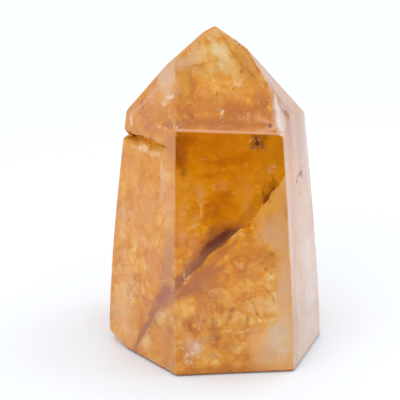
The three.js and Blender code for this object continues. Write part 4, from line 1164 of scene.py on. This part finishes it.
def toneFields(points, owner, gap):
    tone, crumble, gold = (np.array([table[flatNames[k]] for k in owner])
                           for table in (flatTone, flatCrumble, flatGold))
    under = tone.copy()
    for k, name in enumerate(flatNames):
        mine = owner == k
        if not mine.any():
            continue
        values = tone[mine], crumble[mine], gold[mine]
        if name == "front":
            made = frontFields(points[mine], gap[mine], *values)
        else:
            made = otherFields(points[mine], name, *values)
        tone[mine], under[mine], crumble[mine], gold[mine] = made
    return {"tone": tone, "toneUnder": under, "crumble": crumble, "gold": gold}


def paintStone(mesh):  # the slow changes through the stone, kept as values on the points
    points = pointArray(mesh.vertices) / mm
    owner, depth = nearestFlat(points)
    gap = aboveFracture(points)
    paint, cover = paintMarks(points, owner, gap)
    fields = toneFields(points, owner, gap)
    fields.update({
        "fracture": gap,
        "crack": np.interp(points[:, 0], *zip(*fracture["darkness"])),
        "hollow": smoothStep(depth, *rims["hollowSpan"]),
        "deep": smoothStep(depth, *rims["deepSpan"]),
        "pit": smoothStep(depth, *rims["pitSpan"]) * nearPits(points),
        "cover": cover,
        "sparkle": sparkleField(points, owner),
        "front": (owner == flatNames.index("front")).astype(float),
        "left": (owner == flatNames.index("left")).astype(float),
    })
    shades = np.column_stack([paint, np.ones(len(paint))])
    layer = mesh.attributes.new("paint", "FLOAT_COLOR", "POINT")
    layer.data.foreach_set("color", shades.astype(np.float32).ravel())
    for name, values in fields.items():
        layer = mesh.attributes.new(name, "FLOAT", "POINT")
        layer.data.foreach_set("value", values.astype(np.float32))
    print("stone colours:", sum(map(len, marks.values())), "marks and",
          sum(map(len, strokes.values())), "strokes are laid")


class Wire:
    def __init__(self, graph, socket):
        self.graph, self.socket = graph, socket

    def maths(self, operation, first, second=None):
        return self.graph.node("ShaderNodeMath", {"operation": operation}, {0: first, 1: second})

    def __add__(self, other):
        return self.maths("ADD", self, other)

    def __sub__(self, other):
        return self.maths("SUBTRACT", self, other)

    def __mul__(self, other):
        return self.maths("MULTIPLY", self, other)

    def __radd__(self, other):
        return self.maths("ADD", other, self)

    def __rsub__(self, other):
        return self.maths("SUBTRACT", other, self)

    def __rmul__(self, other):
        return self.maths("MULTIPLY", other, self)

    def __abs__(self):
        return self.maths("ABSOLUTE", self)


class Graph:
    def __init__(self, tree):
        self.tree = tree
        tree.nodes.clear()

    def node(self, kind, settings=None, sockets=None, output=0):
        made = self.tree.nodes.new(kind)
        for name, value in (settings or {}).items():
            if name == "stops":
                self.setStops(made.color_ramp, value)
            else:
                setattr(made, name, value)
        for name, value in (sockets or {}).items():
            if isinstance(value, Wire):
                self.tree.links.new(value.socket, made.inputs[name])
            elif value is not None:
                made.inputs[name].default_value = value
        return Wire(self, made.outputs[output]) if len(made.outputs) else made

    def setStops(self, ramp, stops):
        while len(ramp.elements) < len(stops):
            ramp.elements.new(1.0)
        for element, (place, shade) in zip(ramp.elements, stops):
            element.position, element.color = place, shade

    def smooth(self, value, low, high):
        return self.node("ShaderNodeMapRange", {"interpolation_type": "SMOOTHSTEP"},
                         {"Value": value, "From Min": low, "From Max": high})

    def mix(self, first, second, amount):
        return self.node("ShaderNodeMix", {"data_type": "RGBA"}, {0: amount, 6: first, 7: second}, output=2)

    def ramp(self, value, stops):
        return self.node("ShaderNodeValToRGB", {"stops": stops}, {"Fac": value})

    def field(self, name):
        return self.node("ShaderNodeAttribute", {"attribute_name": name}, output=2)

    def noise(self, place, size, detail=2.0, roughness=0.5, output=0):
        sockets = {"Vector": place, "Scale": 1 / size, "Detail": detail, "Roughness": roughness}
        return self.node("ShaderNodeTexNoise", {"noise_dimensions": "3D"}, sockets, output)

    def cells(self, place, size, softness, output=0):  # the distance to the middle of the nearest lump
        sockets = {"Vector": place, "Scale": 1 / size, "Smoothness": softness}
        return self.node("ShaderNodeTexVoronoi", {"feature": "SMOOTH_F1"}, sockets, output)

    def height(self, place):  # the third value of a vector
        return self.node("ShaderNodeSeparateXYZ", None, {0: place}, output=2)

    def vector(self, operation, first, second=None, scale=None, output=0):
        sockets = {0: first, 1: second}
        if scale is not None:
            sockets["Scale"] = scale
        return self.node("ShaderNodeVectorMath", {"operation": operation}, sockets, output)


quartz = {
    "goldenTones": [(0.0, colour(168, 80, 0)), (0.16, colour(204, 111, 0)), (0.34, colour(220, 135, 2)),
                    (0.52, colour(234, 152, 20)), (0.70, colour(245, 176, 64)), (0.86, colour(250, 202, 118)),
                    (1.0, colour(252, 226, 178))],
    "rosyTones": [(0.0, colour(150, 82, 52)), (0.2, colour(190, 114, 72)), (0.4, colour(216, 142, 92)),
                  (0.58, colour(230, 162, 110)), (0.74, colour(236, 182, 142)), (0.88, colour(238, 204, 186)),
                  (1.0, colour(246, 228, 222))],

    # Noise in the stone: its size in mm, its detail and how rough it is.
    "drift": (4.5, 2),
    "curl": (1.5, 1),
    "raggedCrack": (1.1, 2),
    "clouds": (6.5, 5, 0.58),
    "wisps": (2.0, 3, 0.6),
    "grain": (0.55, 2, 0.6),
    "veins": (4.0, 2, 0.45),
    "veinBreaks": (3.4, 1),
    "warmth": (6.0, 2, 0.5),
    "glints": (1.7, 2, 0.5),
    "thinPaint": (1.0, 2, 0.6),
    "rust": (1.0, 2),
    "specks": (0.5, 1, 0.5),
    "brokenGrain": (0.5, 3),
    "wispStretch": (1.0, 1.0, 0.5),
    "glintStretch": (0.8, 1.0, 1.2),

    # Lumps and crumbs: mm across, how soft they are, and where they are neither pale nor deep.
    "lumps": 2.6,
    "crumbs": 1.2,
    "lumpSoftness": 0.35,
    "lumpMiddle": 0.42,

    # How far, in mm, the noise pushes the clouds, the crumbs and the fracture about.
    "warpedBy": 4.0,
    "crumpledBy": 3.6,
    "curledBy": 0.8,
    "crackRaggedBy": 0.3,

    # How far each changes the tone.
    "cloudStrength": 0.34,
    "wispStrength": 0.20,
    "grainStrength": 0.10,
    "lumpStrength": 0.42,
    "crumbStrength": 0.30,
    "kindStrength": 0.34,
    "warmthStrength": 1.3,

    # How strongly each colour covers the quartz.
    "veinStrength": 0.7,
    "glintStrength": 0.6,
    "bandStrength": 0.45,
    "thinPaintStrength": 0.2,
    # Painted shade over the fracture:
    "paintedCrackShadeStrength": 0.8,
    "crackStrength": 0.5,
    "hollowStrength": 0.8,
    "hollowUnderPaint": 0.45,
    "pitStrength": 0.7,
    "speckStrength": 0.75,
    # Painted highlight on the ridges round the front:
    "paintedRidgeHighlightStrength": 0.75,
    # Painted contact shadow along the foot, weaker on the front:
    "paintedFootShadowStrength": 0.9,
    "paintedFootShadowFront": -0.25,

    # Where each fades in or out: values of its noise, or distances in mm.
    "sideSpan": (-0.1, 0.1),
    "veinLevel": 0.49,
    "veinSpan": (0.0, 0.012),
    "veinBreakSpan": (0.46, 0.6),
    "glintSpan": (0.58, 0.72),
    "bandPlace": -0.2,
    "bandSpan": (0.1, 0.9),
    "thinPaintSpan": (0.25, 0.55),
    "fullPaintSpan": (0.7, 0.9),
    # Painted shade over the fracture:
    "paintedCrackShadeSpan": (0.0, 1.5),
    "crackPlace": 0.08,
    "crackSpan": (0.02, 0.2),
    "rustSpan": (0.3, 0.6),
    "speckSpan": (0.54, 0.7),
    # Painted highlight on the ridges round the front, narrower on the tip:
    "paintedRidgeHighlightSpan": (0.15, 0.4),
    "paintedTipHighlightNarrower": 2.5,
    # Painted contact shadow along the foot:
    "paintedFootShadowSpan": (0.3, 0.75),

    "crackColour": colour(84, 40, 22),
    # Painted shade over the fracture:
    "paintedCrackShadeColour": colour(138, 72, 14),
    "bandColour": colour(182, 112, 80),
    "veinColour": colour(160, 88, 34),
    "glintColour": colour(252, 198, 104),
    # Iron stain in the hollows, brightened as painted light that comes through the stone:
    "hollowStainAndPaintedLightColour": colour(255, 172, 26),
    "ledgeStainAndPaintedLightColour": colour(238, 162, 0),
    "pitColour": colour(150, 84, 14),
    "speckColour": colour(252, 224, 196),
    # Painted highlight on the ridges round the front:
    "paintedRidgeHighlightColour": colour(242, 184, 138),
    # Painted contact shadow along the foot:
    "paintedFootShadowColour": colour(118, 72, 58),

    "transmission": 0.35,
    "ior": 1.544,
    "roughness": 0.06,             # and what is added where the quartz is broken, not polished
    "hollowRoughness": 0.7,
    "pitRoughness": 0.2,
    "hollowMetal": 0.45,
    "pitMetal": 0.2,
    "bumpStrength": 0.25,
    "bumpDepth": 0.00004,          # m
    "absorption": (0.97, 0.74, 0.28, 1.0),
    "density": 30.0,
}


def planeDepth(g, place, name):  # how far below a flat's own plane a point lies, in mm
    normal, reach = planeOf(name)
    return float(reach) - g.vector("DOT_PRODUCT", place, tuple(normal), output=1)


def pushed(g, place, pattern):  # a direction that changes from place to place
    return g.vector("SUBTRACT", g.noise(place, *quartz[pattern], output=1), (0.5, 0.5, 0.5))


def bodyColour(g, place, warped, crumpled, side):  # cloudy quartz, crumbly where it is broken
    tone = g.field("tone") * side + g.field("toneUnder") * (1 - side)
    crumble = g.field("crumble")
    clouds = g.noise(warped, *quartz["clouds"]) - 0.5
    wisps = g.noise(g.vector("MULTIPLY", warped, quartz["wispStretch"]), *quartz["wisps"]) - 0.5
    grain = g.noise(place, *quartz["grain"]) - 0.5
    veins = g.noise(crumpled, *quartz["veins"])
    lumps = g.cells(crumpled, quartz["lumps"], quartz["lumpSoftness"])
    crumbs = g.cells(crumpled, quartz["crumbs"], quartz["lumpSoftness"])
    kinds = g.cells(crumpled, quartz["lumps"], quartz["lumpSoftness"], output=1)
    kinds = g.node("ShaderNodeSeparateColor", None, {0: kinds})
    tone = tone + clouds * quartz["cloudStrength"] + wisps * quartz["wispStrength"]
    tone = tone + grain * quartz["grainStrength"]
    broken = (quartz["lumpMiddle"] - lumps) * quartz["lumpStrength"]
    broken = broken + (quartz["lumpMiddle"] - crumbs) * quartz["crumbStrength"]
    broken = broken + (kinds - 0.5) * quartz["kindStrength"]
    tone = tone + broken * crumble

    uneven = (g.noise(warped, *quartz["warmth"]) - 0.5) * quartz["warmthStrength"]
    warmth = g.smooth(g.field("gold") + uneven, 0.0, 1.0)
    golden = g.ramp(tone, quartz["goldenTones"])
    base = g.mix(g.ramp(tone, quartz["rosyTones"]), golden, warmth)

    threads = 1 - g.smooth(abs(veins - quartz["veinLevel"]), *quartz["veinSpan"])
    threads = threads * g.smooth(g.noise(place, *quartz["veinBreaks"]), *quartz["veinBreakSpan"]) * crumble
    base = g.mix(base, quartz["veinColour"], threads * quartz["veinStrength"])
    glints = g.noise(g.vector("MULTIPLY", crumpled, quartz["glintStretch"]), *quartz["glints"])
    glints = g.smooth(glints, *quartz["glintSpan"]) * crumble * warmth
    return g.mix(base, quartz["glintColour"], glints * quartz["glintStrength"])


def bandOver(g, base, gap):  # the dark band where the fracture comes out on the left
    band = 1 - g.smooth(abs(gap - quartz["bandPlace"]), *quartz["bandSpan"])
    return g.mix(base, quartz["bandColour"], g.field("left") * band * quartz["bandStrength"])


def paintOver(g, base, crumpled):  # the marks and strokes, a little thinner in places
    paint = g.node("ShaderNodeAttribute", {"attribute_name": "paint"})
    cover = g.field("cover")
    thin = g.smooth(g.noise(crumpled, *quartz["thinPaint"]), *quartz["thinPaintSpan"])
    patchy = thin * quartz["thinPaintStrength"] + (1 - quartz["thinPaintStrength"])
    full = g.smooth(cover, *quartz["fullPaintSpan"])
    return g.mix(base, paint, cover * (patchy + (1 - patchy) * full))


def crackAndPaintedShadeOver(g, base, gap, side):  # the fracture's line on the front, with a painted shade over it
    shade = side * (1 - g.smooth(gap, *quartz["paintedCrackShadeSpan"])) * g.field("front") * g.field("crack")
    base = g.mix(base, quartz["paintedCrackShadeColour"], shade * quartz["paintedCrackShadeStrength"])
    line = 1 - g.smooth(abs(gap - quartz["crackPlace"]), *quartz["crackSpan"])
    line = line * g.field("front") * g.field("crack")
    return g.mix(base, quartz["crackColour"], line * quartz["crackStrength"])


def hollowOver(g, base, place):  # iron stain in the crevice and the chips, brightened as painted light coming through the stone, and the dark pits
    pit = g.field("pit")
    rust = g.smooth(g.noise(place, *quartz["rust"]), *quartz["rustSpan"])
    stain = g.field("hollow") * (1 - pit) * rust
    strength = quartz["hollowStrength"] - quartz["hollowUnderPaint"] * g.field("cover")
    inside = g.mix(quartz["ledgeStainAndPaintedLightColour"], quartz["hollowStainAndPaintedLightColour"], g.field("deep"))
    base = g.mix(base, inside, stain * strength)
    return g.mix(base, quartz["pitColour"], pit * quartz["pitStrength"])


def specksOver(g, base, place):
    specks = g.smooth(g.noise(place, *quartz["specks"]), *quartz["speckSpan"]) * g.field("sparkle")
    return g.mix(base, quartz["speckColour"], specks * quartz["speckStrength"])


def paintedHighlightAndShadowOver(g, base, place):  # painted highlights on the ridges round the front, and a painted contact shadow along the foot
    ridge = planeDepth(g, place, "front")
    tipRidge = planeDepth(g, place, "tipFront") * quartz["paintedTipHighlightNarrower"]
    ridge = 1 - g.smooth(ridge.maths("MAXIMUM", ridge, tipRidge), *quartz["paintedRidgeHighlightSpan"])
    base = g.mix(base, quartz["paintedRidgeHighlightColour"], ridge * quartz["paintedRidgeHighlightStrength"])
    # painted contact shadow: darker close to the floor, weaker on the front
    low = 1 - g.smooth(g.height(place), *quartz["paintedFootShadowSpan"])
    strength = g.field("front") * quartz["paintedFootShadowFront"] + quartz["paintedFootShadowStrength"]
    return g.mix(base, quartz["paintedFootShadowColour"], low * strength)


def quartzColour(g, place):
    drift, curl = pushed(g, place, "drift"), pushed(g, place, "curl")
    warped = g.vector("ADD", place, g.vector("SCALE", drift, scale=quartz["warpedBy"]))
    crumpled = g.vector("ADD", place, g.vector("SCALE", drift, scale=quartz["crumpledBy"]))
    crumpled = g.vector("ADD", crumpled, g.vector("SCALE", curl, scale=quartz["curledBy"]))
    ragged = (g.noise(place, *quartz["raggedCrack"]) - 0.5) * quartz["crackRaggedBy"]
    gap = g.field("fracture") + ragged
    side = g.smooth(gap, *quartz["sideSpan"])

    base = bodyColour(g, place, warped, crumpled, side)
    base = bandOver(g, base, gap)
    base = paintOver(g, base, crumpled)
    base = crackAndPaintedShadeOver(g, base, gap, side)
    base = hollowOver(g, base, place)
    base = specksOver(g, base, place)
    return paintedHighlightAndShadowOver(g, base, place)


def quartzMaterial():
    material = bpy.data.materials.new("goldenQuartz")
    material.use_nodes = True
    g = Graph(material.node_tree)
    place = g.vector("SCALE", g.node("ShaderNodeTexCoord", output=3), scale=1 / mm)
    base = quartzColour(g, place)
    hollow, pit = g.field("hollow"), g.field("pit")
    bump = g.node("ShaderNodeBump", None, {
        "Strength": quartz["bumpStrength"],
        "Distance": quartz["bumpDepth"],
        "Height": g.noise(place, *quartz["brokenGrain"]) * hollow,
    })
    shader = g.node("ShaderNodeBsdfPrincipled", None, {
        "Base Color": base,
        "Metallic": pit * quartz["pitMetal"] + hollow * quartz["hollowMetal"],
        "Roughness": hollow * quartz["hollowRoughness"] + pit * quartz["pitRoughness"] + quartz["roughness"],
        "IOR": quartz["ior"],
        "Transmission Weight": quartz["transmission"],
        "Normal": bump,
    })
    inside = g.node("ShaderNodeVolumeAbsorption", None,
                    {"Color": quartz["absorption"], "Density": quartz["density"]})
    g.node("ShaderNodeOutputMaterial", None, {"Surface": shader, "Volume": inside})
    return material


def makeStone():
    bm = fineStone(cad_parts["quartz_stone"])
    wearStone(bm)
    bmesh.ops.scale(bm, vec=(mm, mm, mm), verts=bm.verts)
    mesh = bpy.data.meshes.new("quartzStone")
    bm.to_mesh(mesh)
    bm.free()
    mesh.polygons.foreach_set("use_smooth", [True] * len(mesh.polygons))
    paintStone(mesh)
    mesh.materials.append(quartzMaterial())
    stone = bpy.data.objects.new("quartzStone", mesh)
    bpy.context.scene.collection.objects.link(stone)
    weighted = stone.modifiers.new("faceWeightedShading", "WEIGHTED_NORMAL")
    weighted.mode = "FACE_AREA"
    weighted.weight = 50
    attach(stone, "root")
    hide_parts("quartz_stone")
    print("stone: finished")
    return stone


studio = {
    "floorRadius": 0.9,           # lengths in m
    "floorSides": 96,
    "floorGap": 0.0001,           # keeps the paper clear of the polished foot
    "floorClear": (0.10, 0.30),   # the floor fades into the white room between these distances
    "floorColour": colour(245, 248, 255),
    "roomColour": (0.97, 1.0, 1.0, 1.0),
    "roomStrength": 1.0,
    "darkStrength": 0.04,         # the unlit room behind the camera, as the polish mirrors it,
    "darkAcross": (0.6, 0.85),    # and how far it reaches to the sides and up and down
    "darkUp": (0.35, 0.6),
    "cameraPlace": (-0.003668, -0.319974, 0.147232),
    "cameraTarget": (-0.003668, -0.000584, 0.034162),
    "lens": 131.0,                # mm, as the sensor
    "sensor": 36.0,
    "nearest": 0.01,
    "lights": {                   # place, size and power in W
        "keyLight": ((0.30, 0.10, 0.42), 0.35, 0.3),
        "fillLight": ((-0.30, -0.42, 0.34), 0.40, 0.6),
    },
    "lightTarget": (0, 0, 0.03),
}


def turnTo(thing, place, target):  # puts a camera or a light in its place and points it
    thing.location = place
    thing.rotation_euler = (Vector(target) - Vector(place)).to_track_quat("-Z", "Y").to_euler()
    bpy.context.scene.collection.objects.link(thing)


def makeCamera():
    camera = bpy.data.objects.new("camera", bpy.data.cameras.new("camera"))
    camera.data.lens = studio["lens"]
    camera.data.sensor_width = studio["sensor"]
    camera.data.clip_start = studio["nearest"]
    turnTo(camera, studio["cameraPlace"], studio["cameraTarget"])
    bpy.context.scene.camera = camera


def paperMaterial():
    material = bpy.data.materials.new("paperFloor")
    material.use_nodes = True
    g = Graph(material.node_tree)
    fromMiddle = g.vector("LENGTH", g.node("ShaderNodeTexCoord", output=3), output=1)
    fade = g.smooth(fromMiddle, *studio["floorClear"])
    paper = g.node("ShaderNodeBsdfDiffuse", None, {"Color": studio["floorColour"]})
    clear = g.node("ShaderNodeBsdfTransparent")
    shown = g.node("ShaderNodeMixShader", None, {0: fade, 1: paper, 2: clear})
    g.node("ShaderNodeOutputMaterial", None, {"Surface": shown})
    return material


def makeFloor():
    bm = bmesh.new()
    bmesh.ops.create_circle(bm, cap_ends=True, segments=studio["floorSides"], radius=studio["floorRadius"])
    mesh = bpy.data.meshes.new("floor")
    bm.to_mesh(mesh)
    bm.free()
    floor = bpy.data.objects.new("floor", mesh)
    floor.location.z = -studio["floorGap"]
    bpy.context.scene.collection.objects.link(floor)
    mesh.materials.append(paperMaterial())


def makeRoom():  # white all round, but what the polish mirrors from behind the camera is unlit
    world = bpy.data.worlds.new("studio")
    bpy.context.scene.world = world
    world.use_nodes = True
    g = Graph(world.node_tree)
    direction = g.node("ShaderNodeTexCoord", output=0)
    towardsCamera = g.vector("DOT_PRODUCT", direction, (0.0, -1.0, 0.0), output=1)
    dark = g.smooth(towardsCamera, *studio["darkAcross"])
    dark = dark * (1 - g.smooth(abs(g.height(direction)), *studio["darkUp"]))
    mirrored = g.node("ShaderNodeLightPath", output=3) * (1 - g.node("ShaderNodeLightPath", output=6))
    white, unlit = (
        g.node("ShaderNodeBackground", None, {"Color": studio["roomColour"], "Strength": strength})
        for strength in (studio["roomStrength"], studio["darkStrength"]))
    shown = g.node("ShaderNodeMixShader", None, {0: dark * mirrored, 1: white, 2: unlit})
    g.node("ShaderNodeOutputWorld", None, {"Surface": shown})


def makeLights():
    for name, (place, size, power) in studio["lights"].items():
        lamp = bpy.data.lights.new(name, "AREA")
        lamp.shape, lamp.size, lamp.energy = "DISK", size, power
        turnTo(bpy.data.objects.new(name, lamp), place, studio["lightTarget"])


def makeStudio():
    makeCamera()
    makeFloor()
    makeRoom()
    makeLights()
    bpy.context.scene.view_settings.view_transform = "Standard"
    print("studio: camera, floor and light are in place")


makeStudio()
makeStone()
